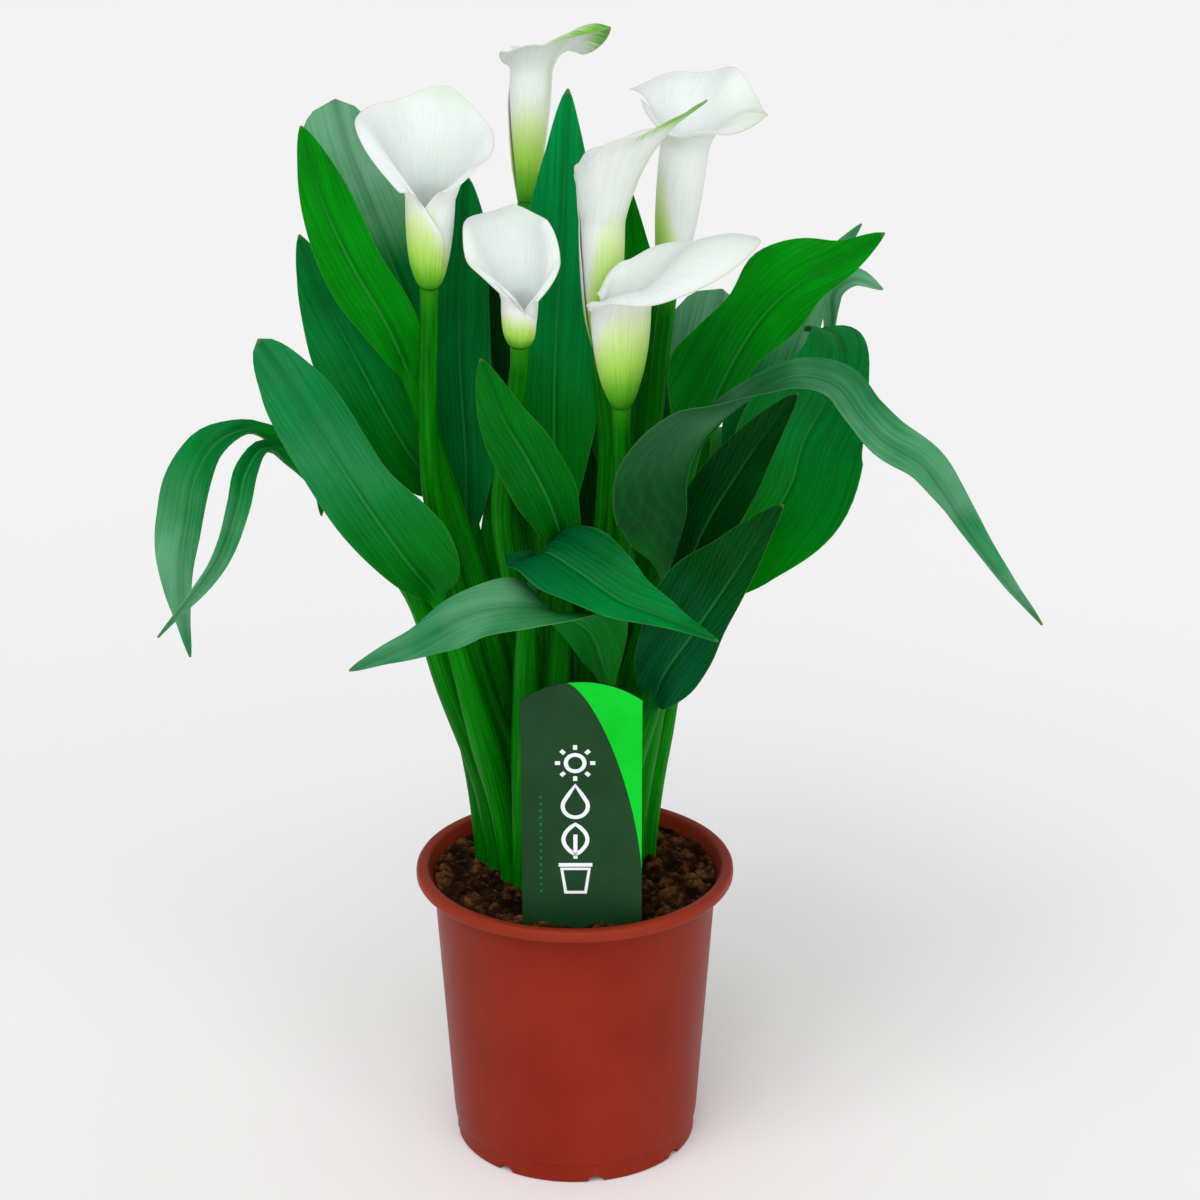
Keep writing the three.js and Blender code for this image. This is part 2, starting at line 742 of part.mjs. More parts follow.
function makeLeaf(leaf) {
  const rise = leaf.rise ?? [];
  const curve = stemPath(leaf.site, [...rise, ...leaf.blade]);
  const base = shareAt(curve, 2 + rise.length);
  const facing = (t) => along(leaf.face.map(v3), t, (p, q, m) => p.clone().lerp(q, m));
  const frameAt = (u, t) => frameOf(curve.getPointAt(u), curve.getTangentAt(u), facing(t));
  const girth = leaf.girth ?? PETIOLE.middle;
  const up = new THREE.Vector3(0, 0, 1);
  const rings = [SOIL.top - STEM.depth, SOIL.top + STEM.clear].map((z) =>
    leafRing(leaf, frameOf(root(leaf.site, z), up, facing(0)), PETIOLE.foot, 0),
  );
  for (let i = 1; i < PETIOLE.steps; i++) {
    const q = i / PETIOLE.steps;
    const radius = q < 0.5 ? mix(PETIOLE.foot, girth, smooth(q * 2)) : mix(girth, PETIOLE.neck, q * 2 - 1);
    rings.push(leafRing(leaf, frameAt(base * q, 0), radius, 0));
  }
  const steps = Math.max(BLADE.fewest, Math.round((curve.getLength() * (1 - base)) / BLADE.pace));
  for (let i = 0; i <= steps; i++) {
    const t = i / steps;
    rings.push(leafRing(leaf, frameAt(mix(base, 1, t), t), PETIOLE.neck, t));
  }
  return meshed(leaf.name, loft(rings, (k) => k >= ACROSS.length), COLOURS.leaf, 0.45);
}

function circle(frame, radius, sides) {
  return Array.from({ length: sides }, (_, k) => {
    const angle = (2 * Math.PI * k) / sides;
    return frame.at
      .clone()
      .addScaledVector(frame.side, Math.cos(angle) * radius)
      .addScaledVector(frame.normal, -Math.sin(angle) * radius);
  });
}

function makeScape(bloom) {
  const axis = v3(bloom.axis).normalize();
  const base = v3(bloom.base);
  const below = base.clone().addScaledVector(axis, -SCAPE.straight);
  const curve = stemPath(bloom.site, [...bloom.scape, below.toArray(), bloom.base]);
  const back = new THREE.Vector3(0, 1, 0);
  const up = new THREE.Vector3(0, 0, 1);
  const foot = frameOf(root(bloom.site, SOIL.top - STEM.depth), up, back);
  const start = frameOf(root(bloom.site, SOIL.top + STEM.clear), up, back);
  const rings = [foot, start].map((frame) => circle(frame, SCAPE.foot, SCAPE.sides));
  for (let i = 1; i <= SCAPE.steps; i++) {
    const u = i / SCAPE.steps;
    const tangent = i < SCAPE.steps ? curve.getTangentAt(u) : axis;
    const frame = frameOf(curve.getPointAt(u), tangent, back);
    rings.push(circle(frame, mix(SCAPE.foot, SCAPE.top, u), SCAPE.sides));
  }
  return meshed("scape_" + bloom.name, loft(rings), COLOURS.scape, 0.4);
}

// The bloom's own frame: Z along its axis, X towards the side of its point.
function bloomMatrix(bloom) {
  const z = v3(bloom.axis).normalize();
  const tip = v3(bloom.tip);
  const x = tip.addScaledVector(z, -tip.dot(z)).normalize();
  const y = new THREE.Vector3().crossVectors(z, x);
  return new THREE.Matrix4().makeBasis(x, y, z).setPosition(...bloom.base);
}

// A value between the evenly spaced ones that run round the rim from margin to margin.
function round(values, v) {
  return along(values, (v + 1) / 2, (p, q, m) => mix(p, q, smooth(m)));
}

// A point of the spathe's outer face. u runs from the base to the rim, v from one margin
// round the back to the other; the margins cross in front and open towards the rim.
function spathePoint(bloom, u, v) {
  const rolled = Math.PI + radians(bloom.overlap);
  const parted = smooth((u - SPATHE.unrolls) / (1 - SPATHE.unrolls));
  const angle = v * mix(rolled, Math.PI * SPATHE.opening, parted);
  const point = (bloom.point ?? SPATHE.point) * Math.max(0, 1 - Math.abs(v) / SPATHE.pointWidth) ** 2;
  const limb = round(bloom.limb, v) + point;
  const flare = radians(round(bloom.flare, v));
  const s = u * (bloom.tube + limb);
  const rise = clamp01(s / bloom.tube);
  const widened = Math.sin((Math.PI / 2) * rise ** (bloom.belly ?? SPATHE.belly));
  const loose = smooth((bloom.seam * v - 0.4) / 0.4) * Math.sin(Math.PI * rise ** 0.7);
  let r = mix(SPATHE.baseRadius, bloom.mouth, widened) + SPATHE.flap * loose;
  let z = GAP + rise * (bloom.tube - GAP);
  const past = Math.max(0, s - bloom.tube);
  const steps = 12;
  for (let i = 0; i < steps; i++) {
    const share = ((i + 0.5) / steps) * (past / limb);
    const turn = mix(radians(SPATHE.throat), flare, smooth(share * 0.9 + 0.05));
    r += (Math.sin(turn) * past) / steps;
    z += (Math.cos(turn) * past) / steps;
  }
  const spiral = (bloom.seam * SPATHE.spiral * angle) / (2 * Math.PI);
  r += spiral * Math.min(1, rise * 4) * (1 - u / 2);
  return new THREE.Vector3(r * Math.cos(angle), r * Math.sin(angle), z);
}

function spatheNormal(bloom, u, v) {
  const e = 0.01;
  const du = spathePoint(bloom, Math.min(1, u + e), v).sub(spathePoint(bloom, Math.max(0, u - e), v));
  const dv = spathePoint(bloom, u, Math.min(1, v + e)).sub(spathePoint(bloom, u, Math.max(-1, v - e)));
  return dv.cross(du).normalize();
}

function makeSpathe(bloom) {
  const matrix = bloomMatrix(bloom);
  const rings = [];
  for (let i = 0; i <= SPATHE.along; i++) {
    const u = (i / SPATHE.along) ** SPATHE.nearBase;
    const outer = [];
    const inner = [];
    for (let j = 0; j <= SPATHE.around; j++) {
      const v = (2 * j) / SPATHE.around - 1;
      const p = spathePoint(bloom, u, v);
      const n = spatheNormal(bloom, u, v);
      outer.push(p.clone().applyMatrix4(matrix));
      inner.push(p.addScaledVector(n, -SPATHE.thickness).applyMatrix4(matrix));
    }
    rings.push([...outer, ...inner.toReversed()]);
  }
  return meshed("spathe_" + bloom.name, sheet(rings, SPATHE.around + 1), COLOURS.spathe, 0.5);
}

// A closed sheet from rings that hold one face's points and then the other's backwards.
function sheet(rings, across) {
  const n = 2 * across;
  const body = loft(rings, (k) => k >= across);
  const index = Array.from(body.index.array);
  const sides = (rings.length - 1) * n * 6;
  index.length = sides;
  const last = (rings.length - 1) * n;
  for (let k = 0; k + 1 < across; k++) {
    const m = n - 1 - k;
    index.push(k, m, m - 1, k, m - 1, k + 1);
    index.push(last + k, last + k + 1, last + m - 1, last + k, last + m - 1, last + m);
  }
  body.setIndex(index);
  return body;
}

function makeSpadix(bloom) {
  const length = bloom.tube * SPADIX.length;
  const outline = [
    new THREE.Vector2(0, GAP),
    new THREE.Vector2(SPADIX.base, GAP),
    new THREE.Vector2(SPADIX.base, length * 0.4),
    new THREE.Vector2(SPADIX.tip, length * 0.95),
    new THREE.Vector2(0, length),
  ];
  const geometry = new THREE.LatheGeometry(outline, SPADIX.sides);
  geometry.rotateX(Math.PI / 2);
  geometry.applyMatrix4(bloomMatrix(bloom));
  return meshed("spadix_" + bloom.name, geometry, COLOURS.spadix, 0.6);
}

function potWallRadius(z) {
  return mix(POT.heelRadius, POT.shoulderRadius, (z - POT.heelHeight) / (POT.height - POT.heelHeight));
}

// The lip's inner face: it runs from the shelf's height up to the lip's top, outwards.
const LIP = {
  shelf: POT.height - POT.lipDepth - 3,
  top: POT.height - 0.6,
  inner: POT.rimRadius - POT.lipWidth,
};

function makePot() {
  const inside = (z) => potWallRadius(z) - POT.wall;
  const lipFoot = POT.height - POT.lipDepth;
  const floorTop = POT.floorHeight + POT.floorThickness;
  const profile = [
    [0, 0],
    [POT.discRadius, 0],
    [POT.discRadius + 1, POT.floorHeight],
    [POT.footRadius - POT.footWidth - 1, POT.floorHeight],
    [POT.footRadius - POT.footWidth, 0],
    [POT.footRadius - 0.6, 0],
    [POT.footRadius, 1],
    [POT.footRadius + 0.1, POT.footHeight],
    [POT.footRadius + 0.7, POT.footHeight + 0.4],
    [POT.heelRadius, POT.heelHeight],
    [potWallRadius(lipFoot), lipFoot],
    [POT.rimRadius - 1.0, lipFoot + 0.2],
    [POT.rimRadius, lipFoot + 1.4],
    [POT.rimRadius - 0.1, POT.height - 1.6],
    [POT.rimRadius - 1.4, POT.height - 0.3],
    [POT.rimRadius - 2.6, POT.height],
    [LIP.inner, LIP.top],
    [inside(LIP.shelf), LIP.shelf],
    [inside(POT.heelHeight), POT.heelHeight],
    [POT.footRadius - 3, floorTop],
    [POT.discRadius - 0.5, floorTop],
    [POT.discRadius - 1.6, POT.floorThickness],
    [0, POT.floorThickness],
  ].map(([r, z]) => new THREE.Vector2(r, z));
  const body = new THREE.LatheGeometry(profile, POT.sides).rotateX(Math.PI / 2);
  let solid = solidOf(body);
  const cut = (radius, length, placed) => {
    const tool = new THREE.CylinderGeometry(radius, radius, length, 10);
    solid = solid.subtract(solidOf(placed(tool)));
  };
  for (let i = 0; i < POT.drainHoles; i++) {
    const angle = (2 * Math.PI * i) / POT.drainHoles;
    cut(POT.drainRadius, 12, (tool) =>
      tool
        .rotateX(Math.PI / 2)
        .translate(POT.drainCircle * Math.cos(angle), POT.drainCircle * Math.sin(angle), POT.floorHeight),
    );
  }
  for (let i = 0; i < POT.notches; i++) {
    const angle = radians(POT.firstNotch + (360 * i) / POT.notches);
    cut(POT.notchRadius, 14, (tool) =>
      tool.rotateZ(Math.PI / 2).translate(POT.footRadius, 0, -0.6).rotateZ(angle),
    );
  }
  return meshed("pot", geometryOf(solid), COLOURS.pot, 0.5);
}

// The soil's surface: low crumbs and hollows.
function soilHeight(x, y) {
  const coarse = Math.sin(x * 0.21 + 1.3) * Math.cos(y * 0.19 - 0.4);
  const fine = Math.sin(x * 0.47 - y * 0.33) * Math.cos(y * 0.52 + x * 0.11);
  return SOIL.top + SOIL.bump * (0.7 * coarse + 0.5 * fine);
}

function soilBlank() {
  const floorTop = POT.floorHeight + POT.floorThickness + GAP;
  const inside = (z) => potWallRadius(z) - POT.wall - GAP;
  const n = SOIL.sides;
  const edgeTop = SOIL.top - SOIL.edgeDrop;
  const edge = mix(inside(LIP.shelf), LIP.inner - GAP, (edgeTop - LIP.shelf) / (LIP.top - LIP.shelf));
  const ring = (radius, height) =>
    Array.from({ length: n }, (_, k) => {
      const angle = (2 * Math.PI * k) / n;
      const x = radius * Math.cos(angle);
      const y = radius * Math.sin(angle);
      return new THREE.Vector3(x, y, height ?? soilHeight(x, y));
    });
  const rings = [
    ring(POT.discRadius - 1.6 - GAP, POT.floorThickness + GAP),
    ring(POT.discRadius - 0.5 - GAP, floorTop),
    ring(POT.footRadius - 3 - GAP * 2, floorTop),
    ring(inside(POT.heelHeight) - GAP, POT.heelHeight),
    ring(inside(LIP.shelf), LIP.shelf),
    ring(edge, edgeTop),
  ];
  for (let i = SOIL.rings; i > 0; i--) rings.push(ring((edge * i) / SOIL.rings, null));
  rings.push(ring(0.5, SOIL.top));
  return loft(rings);
}

// The hole that a stem's foot stands in, with a little play.
function stemHole(site, radius) {
  const sides = 10;
  const hole = (radius + GAP) / Math.cos(Math.PI / sides);
  const depth = STEM.depth + GAP;
  const above = 12; // clear of the soil's surface
  const tool = new THREE.CylinderGeometry(hole, hole, depth + above, sides);
  const middle = root(site, SOIL.top + (above - depth) / 2);
  return solidOf(tool.rotateX(Math.PI / 2).translate(middle.x, middle.y, middle.z));
}

// The label's outline, grown by play on every side.
function labelGeometry(play) {
  const half = LABEL.width / 2 + play;
  const shoulder = LABEL.top - LABEL.crown;
  const arcRadius = (LABEL.width ** 2 / 4 + LABEL.crown ** 2) / (2 * LABEL.crown);
  const arcHalf = Math.asin(LABEL.width / 2 / arcRadius);
  const outline = new THREE.Shape();
  outline.moveTo(0, LABEL.stakeTip - play * 2);
  outline.lineTo(half, LABEL.stakeTop);
  outline.lineTo(half, shoulder);
  outline.absarc(0, LABEL.top - arcRadius, arcRadius, Math.PI / 2 - arcHalf, Math.PI / 2 + arcHalf, false);
  outline.lineTo(-half, LABEL.stakeTop);
  outline.closePath();
  const depth = LABEL.thickness + 2 * play;
  const card = new THREE.ExtrudeGeometry(outline, { depth, bevelEnabled: false, curveSegments: 10 });
  card.translate(0, -SOIL.top, -depth / 2);
  card.rotateX(Math.PI / 2 + radians(LABEL.lean));
  return card.translate(LABEL.x, LABEL.y, SOIL.top);
}

function makeLabel() {
  return meshed("plant_label", labelGeometry(0), COLOURS.label, 0.35);
}

function makeSoil() {
  let solid = solidOf(soilBlank()).subtract(solidOf(labelGeometry(GAP)));
  for (const leaf of LEAVES) solid = solid.subtract(stemHole(leaf.site, PETIOLE.foot));
  for (const bloom of BLOOMS) solid = solid.subtract(stemHole(bloom.site, SCAPE.foot));
  return meshed("potting_soil", geometryOf(solid), COLOURS.soil, 0.95);
}

const plant = new THREE.Group();
plant.add(makePot(), makeSoil(), makeLabel());
for (const leaf of LEAVES) plant.add(makeLeaf(leaf));
for (const bloom of BLOOMS) plant.add(makeScape(bloom), makeSpathe(bloom), makeSpadix(bloom));

export default plant;
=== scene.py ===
"""The looks of a white calla lily in its plastic nursery pot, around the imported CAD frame.

Sizes are in millimetres until a mesh is made. The front of the plant is towards -Y, and
the origin is the middle of the pot's foot. The shapes follow the same named sizes and
formulas as the CAD part, with finer sections, margins, veins and grain.
"""

import math
from dataclasses import dataclass

import bpy
import numpy as np
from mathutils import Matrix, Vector, noise


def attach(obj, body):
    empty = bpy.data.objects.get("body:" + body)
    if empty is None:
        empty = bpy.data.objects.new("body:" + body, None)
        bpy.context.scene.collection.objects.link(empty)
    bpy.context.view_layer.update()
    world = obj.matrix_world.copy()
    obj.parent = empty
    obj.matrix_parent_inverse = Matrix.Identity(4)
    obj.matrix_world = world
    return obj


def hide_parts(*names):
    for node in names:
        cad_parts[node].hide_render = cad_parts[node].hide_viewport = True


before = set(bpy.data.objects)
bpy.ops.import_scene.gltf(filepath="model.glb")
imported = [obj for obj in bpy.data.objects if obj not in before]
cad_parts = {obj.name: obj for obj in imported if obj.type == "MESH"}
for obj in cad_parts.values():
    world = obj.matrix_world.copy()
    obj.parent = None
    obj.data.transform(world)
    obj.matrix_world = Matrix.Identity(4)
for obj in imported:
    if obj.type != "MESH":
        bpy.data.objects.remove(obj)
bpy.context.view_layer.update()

MM = 0.001
GAP = 0.35

# Driving sizes of the CAD part
POT_HEIGHT, RIM_RADIUS, LIP_DEPTH, LIP_WIDTH = 122, 65, 5.5, 4.6
SHOULDER_RADIUS, HEEL_RADIUS, HEEL_HEIGHT = 58.4, 51, 12
FOOT_RADIUS, FOOT_HEIGHT, FOOT_WIDTH, WALL = 49.8, 8, 4, 1.4
FLOOR_HEIGHT, FLOOR_THICKNESS, DISC_RADIUS = 4, 1.6, 17
DRAIN_HOLES, DRAIN_RADIUS, DRAIN_CIRCLE = 6, 4, 30
NOTCHES, NOTCH_RADIUS, FIRST_NOTCH = 8, 3.6, 235
SOIL_TOP, SOIL_EDGE_DROP = 118, 1.5
LABEL_X, LABEL_Y, LABEL_LEAN = 3.2, -49.2, 4.5
LABEL_WIDTH, LABEL_TOP, LABEL_CROWN, LABEL_THICKNESS = 47, 225, 8, 0.8
STAKE_TOP, STAKE_TIP = 104, 66
BUNDLE_X, BUNDLE_Y, PITCH = -4, 14, 11
STEM_DEPTH, STEM_CLEAR, BEND_ACROSS, BEND_UP = 24, 3, 0.3, 0.45
FOOT_LEVELS = (-STEM_DEPTH, -6, STEM_CLEAR)
PETIOLE_FOOT, PETIOLE_MIDDLE, PETIOLE_NECK = 4.6, 5.7, 3.3
MERGE, NECK_FOLD, OPENED, NARROWED, TIP = 0.09, 38, 0.3, 0.4, 0.3
SCAPE_FOOT, SCAPE_NECK, SCAPE_STRAIGHT = 4.5, 3.4, 12
SPATHE_THICKNESS, SPIRAL, BASE_RADIUS, THROAT = 0.9, 1.5, 3.6, 14
OPENING, UNROLLS, POINT_WIDTH = 0.84, 0.42, 0.22
SPADIX_BASE, SPADIX_TIP, SPADIX_LENGTH = 2.4, 1.5, 0.8

# Sizes of the finer forms that only the looks have
PETIOLE_STEP, BLADE_STEP = 7, 3  # how far apart a leaf's sections are
SKIN = (0.32, 0.16)  # half a blade's thickness, at the midrib and at the margin
RIB, RIB_WIDTH = (1.5, 0.35), 2.4  # the midrib's height under the blade, from base to tip
GROOVE, GROOVE_WIDTH = (0.55, 0.15), 1.3  # the groove's depth over it
RIPPLE, RIPPLE_LENGTHS = 0.45, (5.2, 13.7)  # of a leaf's margin
UNDERSIDE, INSIDE = 40, 60  # how far the grain is moved on for a sheet's other side
SPATHE_ROWS, SPATHE_COLUMNS, SPATHE_RIM = 44, 88, 0.5
RIM_WAVE, RIM_RIPPLES, RIM_ROLL = 0.008, (0.5, 0.22), 1.1
SCAPE_ROWS, SCAPE_SIDES, SPADIX_ROWS, SPADIX_SIDES = 46, 28, 64, 36
GRAIN_SIZE, GRAIN_HEIGHT, GRAIN_SUNK, GRAINS_AROUND = 1.3, 0.2, 0.22, 9
POT_SIDES, SOIL_SIDES, SOIL_ROWS = 144, 330, 96
LIP_STEP = 3  # how far below the lip's foot the wall's inner side sets in
CORE = 0.01  # the radius at which a turned profile ends
SOIL_SUNK = 1.2  # how much lower the soil lies at its edge
CRUMBS = ((8.0, 5.6), (4.6, 3.6), (2.4, 1.6))  # the soil's lumps: sizes and heights
CORNER_LEFT, CORNER_LOW, PRINT_MARGIN = -5.5, 142, 0.15  # the label's bright corner
SIGN_X, SIGN_HEIGHTS, SIGN_LINE = -2.5, (190, 173, 156, 139), 1.6
SUN_RADIUS, SUN_RAYS, DROP_RADIUS = 3.6, (5.8, 7.8), 4.9
DOT_X, DOT_RADIUS, DOT_HEIGHTS = -16, 0.55, range(133, 177, 3)
PRINT_DEPTH, PRINT_RISE = 0.1, 0.07  # how far the printing goes into and out of the card

# The stage, in metres and degrees, fitted to the photo
CAMERA_PLACE, CAMERA_TILT, CAMERA_LENS, SENSOR = (0.0103, -1.150, 0.670), 69.33, 92.82, 36
SUNS = (("key", (-0.45, -0.75, 1.1), 1.05, 40), ("fill", (0.35, -1.0, 0.45), 1.25, 70))
SKY = 0.52


@dataclass
class Leaf:
    """A leaf: its midrib's points, the way its upper side faces, and its section."""

    name: str
    site: tuple
    blade: tuple
    left: tuple  # half-widths at even steps between the base and the tip
    face: tuple
    tint: str
    fold: tuple = (12,)  # how far each half is raised, evenly along the midrib
    curl: float = 8  # how far each half bends back towards its margin
    wave: tuple = (1, 1.5, 0)  # the margin's: its height, count and phase
    right: tuple = ()  # the other half's, where it differs
    fold_right: tuple = ()
    outer: str = ""  # the tint towards the tip, where it differs
    rise: tuple = ()
    girth: float = PETIOLE_MIDDLE
    blunt: float = 0.35


@dataclass
class Bloom:
    """A bloom: its scape, and the funnel and limb of its spathe."""

    name: str
    site: tuple
    scape: tuple
    base: tuple
    axis: tuple
    tip: tuple
    tube: float
    mouth: float
    limb: tuple
    flare: tuple
    seam: int
    green: tuple  # the tube's green: its middle, half-width and height, and how green the tip is
    overlap: float = 40
    point: float = 5
    belly: float = 0.5  # how soon the tube widens: the smaller, the sooner


